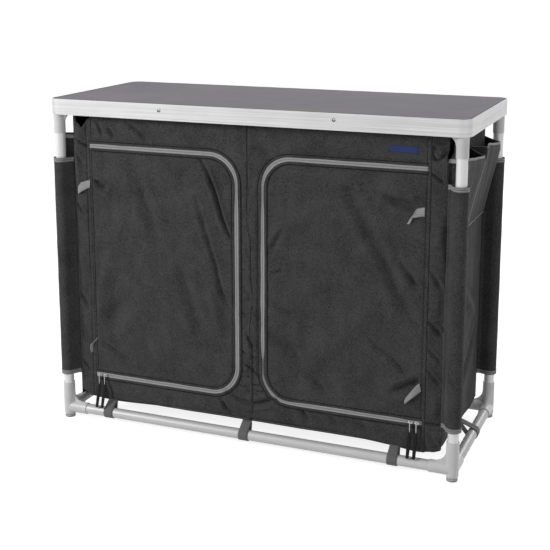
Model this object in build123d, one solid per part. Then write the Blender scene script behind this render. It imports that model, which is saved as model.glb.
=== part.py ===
"""Camping kitchen unit. A take-apart frame of aluminium tubes in moulded plastic corners carries
a laminate worktop in an aluminium edge band. A cloth cabinet with two zipped doors, shelves and
side pouches hangs inside the frame. Millimetres, +Z up. The origin is the middle of the
footprint, on the ground, and the front faces -Y."""

import os
from math import atan2, degrees, hypot

from build123d import *

# Worktop
WORKTOP_WIDTH = 1035.0
WORKTOP_DEPTH = 435.0
WORKTOP_HEIGHT = 820.0
WORKTOP_CORNER = 27.0
PANEL_THICK = 10.0
PANEL_GAP = 0.6

# Edge band, an extruded profile bent round the corners
BAND_HEIGHT = 38.0
BAND_WALL = 2.0
BAND_RIM = 3.0
BAND_LEDGE = 16.0
BAND_LEDGE_THICK = 1.5
GROOVE_DROPS = (9.0, 33.0)
GROOVE_HEIGHT = 1.6
GROOVE_DEPTH = 0.6

# Crossbars under the panel, and the rivets that hold them to the band
CROSSBAR_SPREAD = 430.0
CROSSBAR_WIDTH = 25.0
CROSSBAR_HEIGHT = 13.0
CROSSBAR_WALL = 1.6
TONGUE_THICK = 3.0
FLANGE_THICK = 2.0
FLANGE_HEIGHT = 9.5
RIVET_DROP = 15.0
RIVET_D = 8.0
RIVET_HEIGHT = 1.6

# Tube frame
LEG_INSET = 19.5
LEG_D = 25.0
LOWER_RAIL_D = 25.0
UPPER_RAIL_SIZE = 20.0
TUBE_WALL = 1.2
LOWER_RAIL_HEIGHT = 27.0
UPPER_RAIL_DROP = 25.5

# Moulded corners
SOCKET_FIT = 0.15
SOCKET_FLOOR = 3.0
WEB_THICK = 5.0
LOWER_SOCKET_WALL = 1.9
LOWER_SOCKET_TOP = 93.0
LOWER_ARM_REACH = 53.0
LOWER_WEB_RADIUS = 28.0
UPPER_SOCKET_WALL = 1.2
UPPER_ARM_WALL = 1.4
UPPER_SOCKET_DROP = 85.0
UPPER_ARM_REACH = 50.0
UPPER_WEB_RADIUS = 24.0

# Feet, plugs in the lower corners
FOOT_D = 25.5
FOOT_HEIGHT = 7.0
FOOT_SPIGOT = 12.0
FOOT_SPIGOT_LENGTH = 10.0
FOOT_FLARE_START = 9.0
FOOT_FLARE_END = 12.2

# Cloth cabinet
CABINET_INSET_X = 30.0
CABINET_INSET_Y = 12.0
CABINET_BOTTOM = 57.0
CABINET_TOP_GAP = 2.0
CLOTH = 2.0
DIVIDER_CLOTH = 2.0
CABINET_ROUND = 5.0
FLOOR_BOARD_THICK = 3.0
BOARD_CLEARANCE = 2.0
SHELF_THICK = 5.0
SHELF_SETBACK = 14.0
SHELF_DROPS = (495.0, 255.0)

# Doors and their zips. Offsets are measured out from the middle of the zip's teeth.
DOOR_HINGE_INSET = 46.0
DOOR_INNER_X = 33.0
ZIP_LOW = 119.0
ZIP_TOP_DROP = 90.0
ZIP_CORNER = 70.0
ZIP_TEETH_HALF = 2.5
ZIP_TEETH_RISE = 1.6
ZIP_TAPE_IN = 3.4
ZIP_TAPE_OUT = 4.6
ZIP_END_GAP = 4.0
DOOR_EDGE = 3.8
DOOR_HINGE_GAP = 0.3
BINDING_WIDTH = 2.6
BINDING_RISE = 1.2

# Zip sliders and pulls
SLIDER_LENGTH = 11.0
SLIDER_HALF_WIDTH = 3.3
SLIDER_CLEARANCE = 0.3
SLIDER_PLATE = 1.3
SLIDER_NOSE = 2.4
SLIDER_INSET = 10.5
SLIDER_PITCH = 15.0
BAIL_THICK = 1.4
BAIL_RISE = 3.6
BAIL_HALF = 3.5
BAIL_POST = 1.4
EYE = 2.6
TAB_HALF = 2.8
TAB_CHAMFER = 1.2
TAB_THICK = 1.4
TAB_LENGTH = 20.0
TAB_WINDOW = 3.0
TAIL_LENGTH = 62.0
TAIL_LEAN = 17.0
TAIL_THICK = 3.0
TAIL_NECK = 4.6
TAIL_GRIP = 8.0
TAIL_GRIP_LENGTH = 12.0
TAIL_CLEARANCE = 0.2

# Wings, the cloth flaps that wrap the legs
WING_BOTTOM = 118.0
WING_TOP_GAP = 61.0
WING_SLEEVE_D = 35.0
WING_SEAM = 26.0
WING_CLOTH = 1.5

# Side pouches
POUCH_TOP_DROP = 67.0
POUCH_DEPTH = 190.0
POUCH_BULGE = 40.0
POUCH_MOUTH = 26.0
POUCH_TUCK = 8.0
POUCH_TUCK_HEIGHT = 60.0
POUCH_CLOTH = 1.5
POUCH_MARGIN = 2.0
POUCH_CHAMFER = 9.0

# Webbing
WEBBING_WIDTH = 24.0
WEBBING_THICK = 1.5
WEBBING_CLEARANCE = 0.3
WEBBING_FACET_COUNT = 12
LOOP_INSET = 98.0
LOWER_LOOP_SHIFT = -10.0
SIDE_LOOP_Y = 20.0
LOWER_LOOP_TAB = 12.0
UPPER_LOOP_TAB = 12.0
TIE_TOP_DROP = 84.0
TIE_LOW_RISE = 96.0
TIE_LENGTH = 38.0
TIE_WIDTH = 20.0
TIE_DROP = 19.0
TIE_MARGIN = 3.0
TIE_THICK = 1.5

# Blank woven label
LABEL_WIDTH = 67.0
LABEL_HEIGHT = 16.0
LABEL_THICK = 0.8
LABEL_INSET = 102.0
LABEL_DROP = 50.0

# Places worked out from the sizes above
HALF_WIDTH = WORKTOP_WIDTH / 2
HALF_DEPTH = WORKTOP_DEPTH / 2
PANEL_BOTTOM = WORKTOP_HEIGHT - PANEL_THICK
LEDGE_BOTTOM = PANEL_BOTTOM - BAND_LEDGE_THICK
BAND_BOTTOM = WORKTOP_HEIGHT - BAND_HEIGHT
LEG_X = HALF_WIDTH - LEG_INSET
LEG_Y = HALF_DEPTH - LEG_INSET
UPPER_RAIL_Z = WORKTOP_HEIGHT - UPPER_RAIL_DROP
LOWER_ARM_D = LOWER_RAIL_D + 2 * (SOCKET_FIT + LOWER_SOCKET_WALL)
LOWER_SOCKET_D = LEG_D + 2 * (SOCKET_FIT + LOWER_SOCKET_WALL)
UPPER_ARM_SIZE = UPPER_RAIL_SIZE + 2 * (SOCKET_FIT + UPPER_ARM_WALL)
UPPER_SOCKET_D = LEG_D + 2 * (SOCKET_FIT + UPPER_SOCKET_WALL)
LOWER_RAIL_STOP = LOWER_RAIL_D / 2 + SOCKET_FIT + SOCKET_FLOOR
UPPER_RAIL_STOP = UPPER_RAIL_SIZE / 2 + SOCKET_FIT + SOCKET_FLOOR
LEG_BOTTOM = LOWER_RAIL_HEIGHT + LOWER_RAIL_D / 2 + SOCKET_FIT + SOCKET_FLOOR
LEG_TOP = UPPER_RAIL_Z - UPPER_RAIL_SIZE / 2 - SOCKET_FIT - SOCKET_FLOOR
UPPER_SOCKET_BOTTOM = WORKTOP_HEIGHT - UPPER_SOCKET_DROP
CABINET_X = LEG_X - CABINET_INSET_X
CABINET_Y = LEG_Y - CABINET_INSET_Y
LOOP_PITCH = CABINET_X - LOOP_INSET
CABINET_TOP = PANEL_BOTTOM - CROSSBAR_HEIGHT - CABINET_TOP_GAP
SHELF_HEIGHTS = [CABINET_TOP - drop for drop in SHELF_DROPS]
DOOR_HINGE_X = CABINET_X - DOOR_HINGE_INSET
ZIP_HIGH = CABINET_TOP - ZIP_TOP_DROP
WING_TOP = UPPER_SOCKET_BOTTOM - WING_TOP_GAP
POUCH_TOP = CABINET_TOP - POUCH_TOP_DROP
TIE_TOPS = (ZIP_HIGH - TIE_TOP_DROP, ZIP_LOW + TIE_LOW_RISE)
SLIDER_OUTER_X = DOOR_HINGE_X - SLIDER_INSET
SLIDER_WALL = SLIDER_HALF_WIDTH - ZIP_TEETH_HALF - SLIDER_CLEARANCE
SLIDER_UNDERSIDE = ZIP_TEETH_RISE + SLIDER_CLEARANCE
BAIL_OFFSET = SLIDER_UNDERSIDE + SLIDER_PLATE + BAIL_RISE
PULL_Y = -CABINET_Y - BAIL_OFFSET
POUCH_LENGTH = LEG_Y - WING_SLEEVE_D / 2 - 2 * POUCH_MARGIN
SLIDER_XS = {"outer": SLIDER_OUTER_X, "inner": SLIDER_OUTER_X - SLIDER_PITCH}

SIDES = {"left": -1, "right": 1}
ENDS = {"front": -1, "rear": 1}


def slab(low, high):
    """A box between two corners."""
    size = [b - a for a, b in zip(low, high)]
    middle = [(a + b) / 2 for a, b in zip(low, high)]
    return Pos(*middle) * Box(*size)


def tube(diameter, length):
    """A tube that starts at the origin and runs up Z."""
    grow = (Align.CENTER, Align.CENTER, Align.MIN)
    outer = Cylinder(diameter / 2, length, align=grow)
    return outer - Cylinder(diameter / 2 - TUBE_WALL, length, align=grow)


def rod(radius, length):
    """A round bar that starts at the origin and runs up Z."""
    return Cylinder(radius, length, align=(Align.CENTER, Align.CENTER, Align.MIN))


def on_side(solid, side):
    """The solid is made for the right side, and mirrored for the left."""
    return solid if side > 0 else mirror(solid, Plane.YZ)


def on_front(sketch, rise, back=0.0):
    """Extrudes a front-view sketch towards the viewer, from `back` outside the cloth's face."""
    return extrude(Plane.XZ.offset(CABINET_Y + back) * sketch, rise)


# Worktop


def worktop_plan(inset):
    """The worktop's rounded outline, drawn in by `inset`."""
    width = WORKTOP_WIDTH - 2 * inset
    depth = WORKTOP_DEPTH - 2 * inset
    return RectangleRounded(width, depth, WORKTOP_CORNER - inset)


def band_ring(outer, inner, low, high):
    """One step of the band's profile, carried round the worktop."""
    return Pos(0, 0, low) * extrude(worktop_plan(outer) - worktop_plan(inner), high - low)


def edge_band():
    body = band_ring(0, BAND_WALL, BAND_BOTTOM, WORKTOP_HEIGHT)
    body += band_ring(0, BAND_RIM, LEDGE_BOTTOM, WORKTOP_HEIGHT)
    body += band_ring(0, BAND_LEDGE, LEDGE_BOTTOM, PANEL_BOTTOM)
    for drop in GROOVE_DROPS:
        top = WORKTOP_HEIGHT - drop
        body -= band_ring(-1, GROOVE_DEPTH, top - GROOVE_HEIGHT, top)
    return body


def worktop_panel():
    return Pos(0, 0, PANEL_BOTTOM) * extrude(worktop_plan(BAND_RIM + PANEL_GAP), PANEL_THICK)


def crossbar(x):
    """A box bar under the panel. Its end tongues pass over the rails to a flange on the band."""
    half = CROSSBAR_WIDTH / 2
    end = LEG_Y - UPPER_RAIL_SIZE / 2 - CLOTH
    low = PANEL_BOTTOM - CROSSBAR_HEIGHT
    wall = CROSSBAR_WALL
    body = slab((x - half, -end, low), (x + half, end, PANEL_BOTTOM))
    body -= slab((x - half + wall, -end, low + wall), (x + half - wall, end, PANEL_BOTTOM - wall))
    reach = HALF_DEPTH - BAND_WALL
    steps = ((end - wall, LEDGE_BOTTOM - TONGUE_THICK), (reach - FLANGE_THICK, LEDGE_BOTTOM - FLANGE_HEIGHT))
    for start, bottom in steps:
        tongue = slab((x - half, start, bottom), (x + half, reach, LEDGE_BOTTOM))
        body += tongue + mirror(tongue, Plane.XZ)
    return body


def rivet(x, sy):
    """A rivet's flat head on the band's face, at the end of a crossbar."""
    place = Pos(x, sy * HALF_DEPTH, WORKTOP_HEIGHT - RIVET_DROP) * Rot(sy * -90, 0, 0)
    return place * rod(RIVET_D / 2, RIVET_HEIGHT)


# Moulded corners, drawn with the leg's axis on Z and the arms along +X and +Y


def web(radius, socket_d, arm_d, arm_z, up):
    """The curved gusset between the socket and an arm along +X, above or below the arm."""
    reach = socket_d / 2 + radius
    rise = arm_d / 2 + radius
    corner = Pos(reach / 2, up * rise / 2) * Rectangle(reach, rise)
    corner -= Pos(reach, up * rise) * Circle(radius)
    plate = extrude(Plane.XZ * corner, WEB_THICK / 2, both=True)
    return Pos(0, 0, arm_z) * plate


def both_arms(piece):
    """A shape along +X, and the same shape turned to +Y."""
    return piece + Rot(0, 0, 90) * mirror(piece, Plane.XZ)


def round_arm(diameter, start):
    place = Pos(start, 0, LOWER_RAIL_HEIGHT) * Rot(0, 90, 0)
    return place * rod(diameter / 2, LOWER_ARM_REACH - start)


def square_arm(size, start):
    half = size / 2
    return slab((start, -half, UPPER_RAIL_Z - half), (UPPER_ARM_REACH, half, UPPER_RAIL_Z + half))


def lower_corner():
    """Three sockets that meet at the foot: the leg's, and two for the rails."""
    profile = Polyline(
        (0, FOOT_HEIGHT),
        (FOOT_D / 2, FOOT_HEIGHT),
        (FOOT_D / 2, FOOT_FLARE_START),
        (LOWER_SOCKET_D / 2, FOOT_FLARE_END),
        (LOWER_SOCKET_D / 2, LOWER_SOCKET_TOP),
        (0, LOWER_SOCKET_TOP),
        close=True,
    )
    body = revolve(Plane.XZ * make_face(profile), Axis.Z)
    body += both_arms(round_arm(LOWER_ARM_D, 0))
    body += both_arms(web(LOWER_WEB_RADIUS, LOWER_SOCKET_D, LOWER_ARM_D, LOWER_RAIL_HEIGHT, 1))
    body -= both_arms(round_arm(LOWER_RAIL_D + 2 * SOCKET_FIT, LOWER_RAIL_STOP))
    body -= Pos(0, 0, LEG_BOTTOM) * rod(LEG_D / 2 + SOCKET_FIT, LOWER_SOCKET_TOP - LEG_BOTTOM)
    return body - spigot(SOCKET_FIT)


def upper_corner():
    """The leg's socket with two square sockets at its head, flat on top under the band's ledge."""
    low = UPPER_SOCKET_BOTTOM
    body = Pos(0, 0, low) * rod(UPPER_SOCKET_D / 2, LEDGE_BOTTOM - low)
    body += both_arms(square_arm(UPPER_ARM_SIZE, 0))
    body += both_arms(web(UPPER_WEB_RADIUS, UPPER_SOCKET_D, UPPER_ARM_SIZE, UPPER_RAIL_Z, -1))
    body -= both_arms(square_arm(UPPER_RAIL_SIZE + 2 * SOCKET_FIT, UPPER_RAIL_STOP))
    return body - Pos(0, 0, low) * rod(LEG_D / 2 + SOCKET_FIT, LEG_TOP - low)


def spigot(clearance):
    half = FOOT_SPIGOT / 2 + clearance
    return slab((-half, -half, FOOT_HEIGHT), (half, half, FOOT_HEIGHT + FOOT_SPIGOT_LENGTH + clearance))


def foot():
    """A plug with a square spigot up into the corner."""
    return rod(FOOT_D / 2, FOOT_HEIGHT) + spigot(0)


def at_corner(piece, sx, sy):
    """Turns a corner piece so that its arms point into the frame, and sets it on the leg's axis."""
    turn = {(-1, -1): 0, (1, -1): 90, (1, 1): 180, (-1, 1): 270}[sx, sy]
    return Pos(sx * LEG_X, sy * LEG_Y, 0) * Rot(0, 0, turn) * piece


def corner_pair(piece, sx):
    """The front and rear corners of one side."""
    return [at_corner(piece, sx, sy) for sy in ENDS.values()]


def square_tube(length):
    """A square tube along X, centred on the origin."""
    outer = Box(length, UPPER_RAIL_SIZE, UPPER_RAIL_SIZE)
    inner = UPPER_RAIL_SIZE - 2 * TUBE_WALL
    return outer - Box(length, inner, inner)


def lower_rail_x(sy):
    length = 2 * (LEG_X - LOWER_RAIL_STOP)
    return Pos(-length / 2, sy * LEG_Y, LOWER_RAIL_HEIGHT) * Rot(0, 90, 0) * tube(LOWER_RAIL_D, length)


def lower_rail_y(sx):
    length = 2 * (LEG_Y - LOWER_RAIL_STOP)
    return Pos(sx * LEG_X, length / 2, LOWER_RAIL_HEIGHT) * Rot(90, 0, 0) * tube(LOWER_RAIL_D, length)


def upper_rail_x(sy):
    return Pos(0, sy * LEG_Y, UPPER_RAIL_Z) * square_tube(2 * (LEG_X - UPPER_RAIL_STOP))


def upper_rail_y(sx):
    return Pos(sx * LEG_X, 0, UPPER_RAIL_Z) * Rot(0, 0, 90) * square_tube(2 * (LEG_Y - UPPER_RAIL_STOP))


def leg(sx, sy):
    return Pos(sx * LEG_X, sy * LEG_Y, LEG_BOTTOM) * tube(LEG_D, LEG_TOP - LEG_BOTTOM)


# Cloth cabinet


def door_outline(offset, hinge_gap=0.0):
    """The right door's D shape seen from the front, grown by `offset` but not at its hinge."""
    left = DOOR_INNER_X - offset
    right = DOOR_HINGE_X - hinge_gap
    low = ZIP_LOW - offset
    high = ZIP_HIGH + offset
    face = Pos((left + right) / 2, (low + high) / 2) * Rectangle(right - left, high - low)
    return fillet(face.vertices().group_by(Axis.X)[0], ZIP_CORNER + offset)


def front_outline():
    """The front and back cloth, with rounded lower corners."""
    height = CABINET_TOP - CABINET_BOTTOM
    face = Pos(0, CABINET_BOTTOM + height / 2) * Rectangle(2 * CABINET_X, height)
    return fillet(face.vertices().group_by(Axis.Y)[0], CABINET_ROUND)


def cabinet_front():
    opening = door_outline(ZIP_TAPE_OUT + BINDING_WIDTH)
    face = front_outline() - opening - mirror(opening, Plane.YZ)
    return on_front(face, CLOTH, -CLOTH)


def cabinet_back():
    return Pos(0, CABINET_Y, 0) * extrude(Plane.XZ * front_outline(), CLOTH)


def cabinet_side(side):
    """A side wall between the front and back cloth, rounded as they are at the floor."""
    inner = CABINET_Y - CLOTH
    low = (CABINET_X - CLOTH, -inner, CABINET_BOTTOM + CABINET_ROUND)
    return on_side(slab(low, (CABINET_X, inner, CABINET_TOP)), side)


def cabinet_floor():
    """The floor cloth, turned up at both ends to meet the side walls."""
    outer = front_outline()
    inner = offset(outer, -CLOTH)
    cut = Pos(0, CABINET_BOTTOM + CABINET_ROUND + CABINET_TOP / 2)
    face = outer - inner - cut * Rectangle(2 * CABINET_X, CABINET_TOP)
    return extrude(Plane.XZ * face, CABINET_Y - CLOTH, both=True)


def cabinet_top():
    inner_x, inner_y = CABINET_X - CLOTH, CABINET_Y - CLOTH
    return slab((-inner_x, -inner_y, CABINET_TOP - CLOTH), (inner_x, inner_y, CABINET_TOP))


def cabinet_divider():
    inner = CABINET_Y - CLOTH
    half = DIVIDER_CLOTH / 2
    return slab((-half, -inner, CABINET_BOTTOM + CLOTH), (half, inner, CABINET_TOP - CLOTH))


def floor_board(side):
    """A stiff board that lies on the floor cloth of one column."""
    low_z = CABINET_BOTTOM + CLOTH
    inner_y = CABINET_Y - CLOTH - BOARD_CLEARANCE
    outer_x = CABINET_X - CABINET_ROUND
    low = (DIVIDER_CLOTH / 2 + BOARD_CLEARANCE, -inner_y, low_z)
    return on_side(slab(low, (outer_x, inner_y, low_z + FLOOR_BOARD_THICK)), side)


def shelf(side, height):
    """A cloth-covered shelf board, sewn to the walls of its column and set back from the front."""
    inner_y = CABINET_Y - CLOTH
    low = (DIVIDER_CLOTH / 2, SHELF_SETBACK - inner_y, height)
    return on_side(slab(low, (CABINET_X - CLOTH, inner_y, height + SHELF_THICK)), side)


def door(side):
    """The door's cloth, with the binding that stands up along its zipped edge."""
    cloth = on_front(door_outline(-DOOR_EDGE, DOOR_HINGE_GAP), CLOTH, -CLOTH)
    inner = door_outline(-DOOR_EDGE - BINDING_WIDTH)
    binding = on_front(door_outline(-DOOR_EDGE) - inner - hinge_strip(), BINDING_RISE)
    return on_side(cloth + binding, side)


def hinge_strip():
    """The strip next to a hinge where the zip and its bindings stop."""
    height = WORKTOP_HEIGHT
    return Pos(DOOR_HINGE_X, height / 2) * Rectangle(2 * ZIP_END_GAP, height)


def zip_track(side):
    """The tape between door and cabinet with its teeth, and the binding on the cabinet's side."""
    stop = hinge_strip()
    edge = ZIP_TAPE_OUT + BINDING_WIDTH
    tape = on_front(door_outline(edge) - door_outline(-ZIP_TAPE_IN), CLOTH, -CLOTH)
    teeth = door_outline(ZIP_TEETH_HALF) - door_outline(-ZIP_TEETH_HALF) - stop
    binding = door_outline(edge) - door_outline(ZIP_TAPE_OUT) - stop
    return on_side(tape + on_front(teeth, ZIP_TEETH_RISE) + on_front(binding, BINDING_RISE), side)


def zip_slider(side, x):
    """A slider that straddles the teeth, with a bail on its face for the pull."""
    half, side_y = SLIDER_LENGTH / 2, SLIDER_HALF_WIDTH
    plate = chamfer(Rectangle(2 * half, 2 * side_y).vertices(), SLIDER_NOSE)
    deck = SLIDER_UNDERSIDE - SLIDER_CLEARANCE
    body = extrude(plate, deck + SLIDER_PLATE)
    inner = side_y - SLIDER_WALL
    body -= slab((-half, -inner, 0), (half, inner, deck))
    bail_rise = BAIL_OFFSET - SLIDER_CLEARANCE
    half_bar = BAIL_THICK / 2
    top = bail_rise + half_bar
    body += slab((-BAIL_HALF, -half_bar, deck), (BAIL_HALF, half_bar, top))
    span = BAIL_HALF - BAIL_POST
    low = deck + SLIDER_PLATE
    body -= slab((-span, -half_bar, low), (span, half_bar, top - BAIL_THICK))
    place = Pos(x, -CABINET_Y - SLIDER_CLEARANCE, ZIP_LOW) * Rot(90, 0, 0)
    return on_side(place * body, side)


def pull_tab():
    """A thin plate with an eye for the bail and a window for the tail, hanging from the origin."""
    height = TAB_LENGTH + 2 * TAB_HALF
    face = Pos(0, -TAB_LENGTH / 2) * Rectangle(2 * TAB_HALF, height)
    face = chamfer(face.vertices(), TAB_CHAMFER) - Rectangle(EYE, EYE)
    face -= Pos(0, -TAB_LENGTH) * Rectangle(TAB_WINDOW, TAB_WINDOW)
    return Pos(-TAB_THICK / 2, 0, 0) * extrude(Plane.YZ * face, TAB_THICK)


def pull_tail():
    """A soft tail that grips the tab's window from both sides and widens to a flat end."""
    grip, neck, top = TAIL_GRIP / 2, TAIL_NECK / 2, TAB_WINDOW / 2
    shape = Polyline(
        (-neck, top),
        (neck, top),
        (neck, -TAB_HALF),
        (grip, TAIL_GRIP_LENGTH - TAIL_LENGTH),
        (grip, -TAIL_LENGTH),
        (-grip, -TAIL_LENGTH),
        (-grip, TAIL_GRIP_LENGTH - TAIL_LENGTH),
        (-neck, -TAB_HALF),
        close=True,
    )
    tail = extrude(Plane.XZ * make_face(shape), TAIL_THICK / 2, both=True)
    slot = TAB_THICK / 2 + TAIL_CLEARANCE
    tail -= slab((-slot, -TAIL_THICK, -TAB_HALF - 2 * TAIL_CLEARANCE), (slot, TAIL_THICK, TAIL_THICK))
    bridge = TAB_WINDOW / 2 - 2 * TAIL_CLEARANCE
    return tail + slab((-neck, -bridge, -bridge), (neck, bridge, bridge))


def zip_pull(side, x):
    """A metal tab that hangs on the bail, and its tail that leans out over the rail."""
    tail = Pos(0, 0, -TAB_LENGTH) * Rot(-TAIL_LEAN, 0, 0) * pull_tail()
    return on_side(Pos(x, PULL_Y, ZIP_LOW) * Compound(children=[pull_tab(), tail]), side)


def leg_wing(sx, sy):
    """A cloth flap from the cabinet's corner edge, folded round the leg and sewn to itself."""
    turn = Rot(0, 0, degrees(atan2(-CABINET_INSET_Y, -CABINET_INSET_X)))
    seam = turn * Pos(WING_SEAM, 0)
    end = hypot(CABINET_INSET_X, CABINET_INSET_Y) + CLOTH
    radius = WING_SLEEVE_D / 2
    outer = make_hull((Circle(radius) + seam * Rectangle(WING_CLOTH, WING_CLOTH)).edges())
    flap = turn * Pos((WING_SEAM + end) / 2, 0) * Rectangle(end - WING_SEAM, WING_CLOTH)
    face = outer + flap - offset(outer, -WING_CLOTH, kind=Kind.INTERSECTION)
    body = Pos(LEG_X, LEG_Y, WING_BOTTOM) * extrude(face, WING_TOP - WING_BOTTOM)
    body -= slab((0, 0, 0), (CABINET_X, CABINET_Y, WORKTOP_HEIGHT))
    if sx < 0:
        body = mirror(body, Plane.YZ)
    return mirror(body, Plane.XZ) if sy < 0 else body


def pouch_form(inset, high):
    """The pouch's outer form on the right wall, drawn in by `inset` and topped at `high`."""
    bottom = POUCH_TOP - POUCH_DEPTH + 2 * inset
    wall = CABINET_X - inset
    bulge = CABINET_X + POUCH_BULGE - inset
    shape = Polyline(
        (wall, bottom),
        (CABINET_X + POUCH_CLOTH, bottom),
        (CABINET_X + POUCH_TUCK - inset, bottom + POUCH_TUCK_HEIGHT),
        (bulge, POUCH_TOP - POUCH_MOUTH),
        (bulge, high),
        (wall, high),
        close=True,
    )
    half = POUCH_LENGTH / 2 - inset
    solid = extrude(Plane.XZ * make_face(shape), half, both=True)
    return chamfer(solid.edges().filter_by(Axis.Z).group_by(Axis.X)[-1], POUCH_CHAMFER - inset / 2)


def pouch(middle):
    """An open-topped cloth pouch on the right side wall."""
    hollow = pouch_form(POUCH_CLOTH, POUCH_TOP + POUCH_CLOTH)
    return Pos(0, middle, 0) * (pouch_form(0, POUCH_TOP) - hollow)


def side_pouches(side):
    """The front and rear pouch of one side wall."""
    step = POUCH_MARGIN + POUCH_LENGTH / 2
    return [on_side(pouch(sy * step), side) for sy in (-1, 1)]


# Webbing straps, drawn in a plane with +X away from the cabinet and the rail's axis at the origin


def strap_loop(rail, knot, tab, room):
    """A strap round the rail's outline, drawn to a tab sewn on the cabinet, inside the free room."""
    knot *= Rectangle(WEBBING_THICK / 2, WEBBING_THICK)
    hollow = make_hull((rail + knot).edges())
    skin = offset(hollow, WEBBING_THICK, kind=Kind.INTERSECTION)
    face = (skin + tab - hollow) & room * Rectangle(WORKTOP_DEPTH, WORKTOP_DEPTH)
    return extrude(Plane.XZ * face, WEBBING_WIDTH / 2, both=True)


def lower_strap(inset):
    """A strap round a lower rail, with its tab under the cabinet's floor, `inset` from the axis."""
    rail = RegularPolygon(LOWER_RAIL_D / 2 + WEBBING_CLEARANCE, WEBBING_FACET_COUNT, major_radius=False)
    hem = CABINET_BOTTOM - LOWER_RAIL_HEIGHT
    knot = Pos(-inset - 2 * WEBBING_THICK, hem - 2 * WEBBING_THICK)
    tab = Pos(-inset - LOWER_LOOP_TAB / 2, hem - WEBBING_THICK / 2) * Rectangle(LOWER_LOOP_TAB, WEBBING_THICK)
    return strap_loop(rail, knot, tab, Pos(0, hem - WORKTOP_DEPTH / 2))


def upper_strap(inset):
    """A strap round an upper rail, with its tab on the cabinet's wall, `inset` from the axis."""
    size = UPPER_RAIL_SIZE + 2 * WEBBING_CLEARANCE
    knot = Pos(WEBBING_THICK - inset, 0)
    tab = Pos(WEBBING_THICK / 2 - inset, 0) * Rectangle(WEBBING_THICK, UPPER_LOOP_TAB)
    return strap_loop(Rectangle(size, size), knot, tab, Pos(WORKTOP_DEPTH / 2 - inset, 0))


def all_loops(long_strap, short_strap, z, shift):
    """Three loops on the front rail and on the rear rail, and one on each side rail."""
    long_strap = Rot(0, 0, -90) * long_strap
    short_loop = Pos(LEG_X, SIDE_LOOP_Y, z) * short_strap
    loops = [short_loop, mirror(short_loop, Plane.YZ)]
    for i in (-1, 0, 1):
        front = Pos(i * LOOP_PITCH + shift, -LEG_Y, z) * long_strap
        loops += [front, mirror(front, Plane.XZ)]
    return loops


def lower_loops():
    long_strap = lower_strap(CABINET_INSET_Y + CLOTH)
    short_strap = lower_strap(CABINET_INSET_X + CABINET_ROUND)
    return all_loops(long_strap, short_strap, LOWER_RAIL_HEIGHT, LOWER_LOOP_SHIFT)


def upper_loops():
    return all_loops(upper_strap(CABINET_INSET_Y), upper_strap(CABINET_INSET_X), UPPER_RAIL_Z, 0)


def tie_backs(start_x):
    """Two slanting webbing tabs that hang from a door's hinge seam at `start_x`."""
    ties = []
    for top in TIE_TOPS:
        end_x = start_x - TIE_LENGTH
        end_top = top - TIE_DROP
        shape = Polyline(
            (start_x, top),
            (end_x, end_top),
            (end_x, end_top - TIE_WIDTH),
            (start_x, top - TIE_WIDTH),
            close=True,
        )
        ties.append(on_front(make_face(shape), TIE_THICK))
    return ties


def label_patch():
    middle = Pos(CABINET_X - LABEL_INSET, CABINET_TOP - LABEL_DROP)
    return on_front(middle * Rectangle(LABEL_WIDTH, LABEL_HEIGHT), LABEL_THICK)


def all_parts():
    """Every node's name with its solid or solids."""
    bar_x = CROSSBAR_SPREAD / 2
    parts = {
        "worktop_panel": worktop_panel(),
        "worktop_edge_band": edge_band(),
        "worktop_crossbars": [crossbar(x) for x in (-bar_x, bar_x)],
        "band_rivets": [rivet(x, sy) for x in (-bar_x, bar_x) for sy in ENDS.values()],
        "feet": [corner for sx in SIDES.values() for corner in corner_pair(foot(), sx)],
    }
    for end_name, sy in ENDS.items():
        parts[f"upper_rail_{end_name}"] = upper_rail_x(sy)
        parts[f"lower_rail_{end_name}"] = lower_rail_x(sy)
    upper, lower = upper_corner(), lower_corner()
    for side_name, sx in SIDES.items():
        parts[f"upper_corners_{side_name}"] = corner_pair(upper, sx)
        parts[f"lower_corners_{side_name}"] = corner_pair(lower, sx)
        parts[f"upper_rail_{side_name}"] = upper_rail_y(sx)
        parts[f"lower_rail_{side_name}"] = lower_rail_y(sx)
        for end_name, sy in ENDS.items():
            parts[f"leg_{end_name}_{side_name}"] = leg(sx, sy)
            parts[f"leg_wing_{end_name}_{side_name}"] = leg_wing(sx, sy)
    parts["cabinet_front"] = cabinet_front()
    parts["cabinet_back"] = cabinet_back()
    parts["cabinet_floor"] = cabinet_floor()
    parts["cabinet_top"] = cabinet_top()
    parts["cabinet_divider"] = cabinet_divider()
    for side_name, side in SIDES.items():
        parts[f"cabinet_side_{side_name}"] = cabinet_side(side)
        parts[f"floor_board_{side_name}"] = floor_board(side)
        parts[f"side_pouches_{side_name}"] = side_pouches(side)
        parts[f"door_{side_name}"] = door(side)
        parts[f"zip_{side_name}"] = zip_track(side)
        for level, height in zip(("lower", "upper"), SHELF_HEIGHTS):
            parts[f"shelf_{side_name}_{level}"] = shelf(side, height)
        for place, x in SLIDER_XS.items():
            parts[f"zip_slider_{side_name}_{place}"] = zip_slider(side, x)
            parts[f"zip_pull_{side_name}_{place}"] = zip_pull(side, x)
        tie_start = side * DOOR_HINGE_X - TIE_MARGIN
        parts[f"tie_backs_{side_name}"] = tie_backs(tie_start)
    parts["upper_loops"] = upper_loops()
    parts["lower_loops"] = lower_loops()
    parts["label_patch"] = label_patch()
    return parts


def main():
    os.makedirs("parts", exist_ok=True)
    for name, shape in all_parts().items():
        if isinstance(shape, list):
            shape = Compound(children=[solid for piece in shape for solid in piece.solids()])
        export_step(shape, f"parts/{name}.step")


main()
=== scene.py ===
import bpy
import bmesh
from math import acos, atan2, ceil, copysign, cos, exp, hypot, pi, radians, sin
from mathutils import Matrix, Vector, noise


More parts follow.
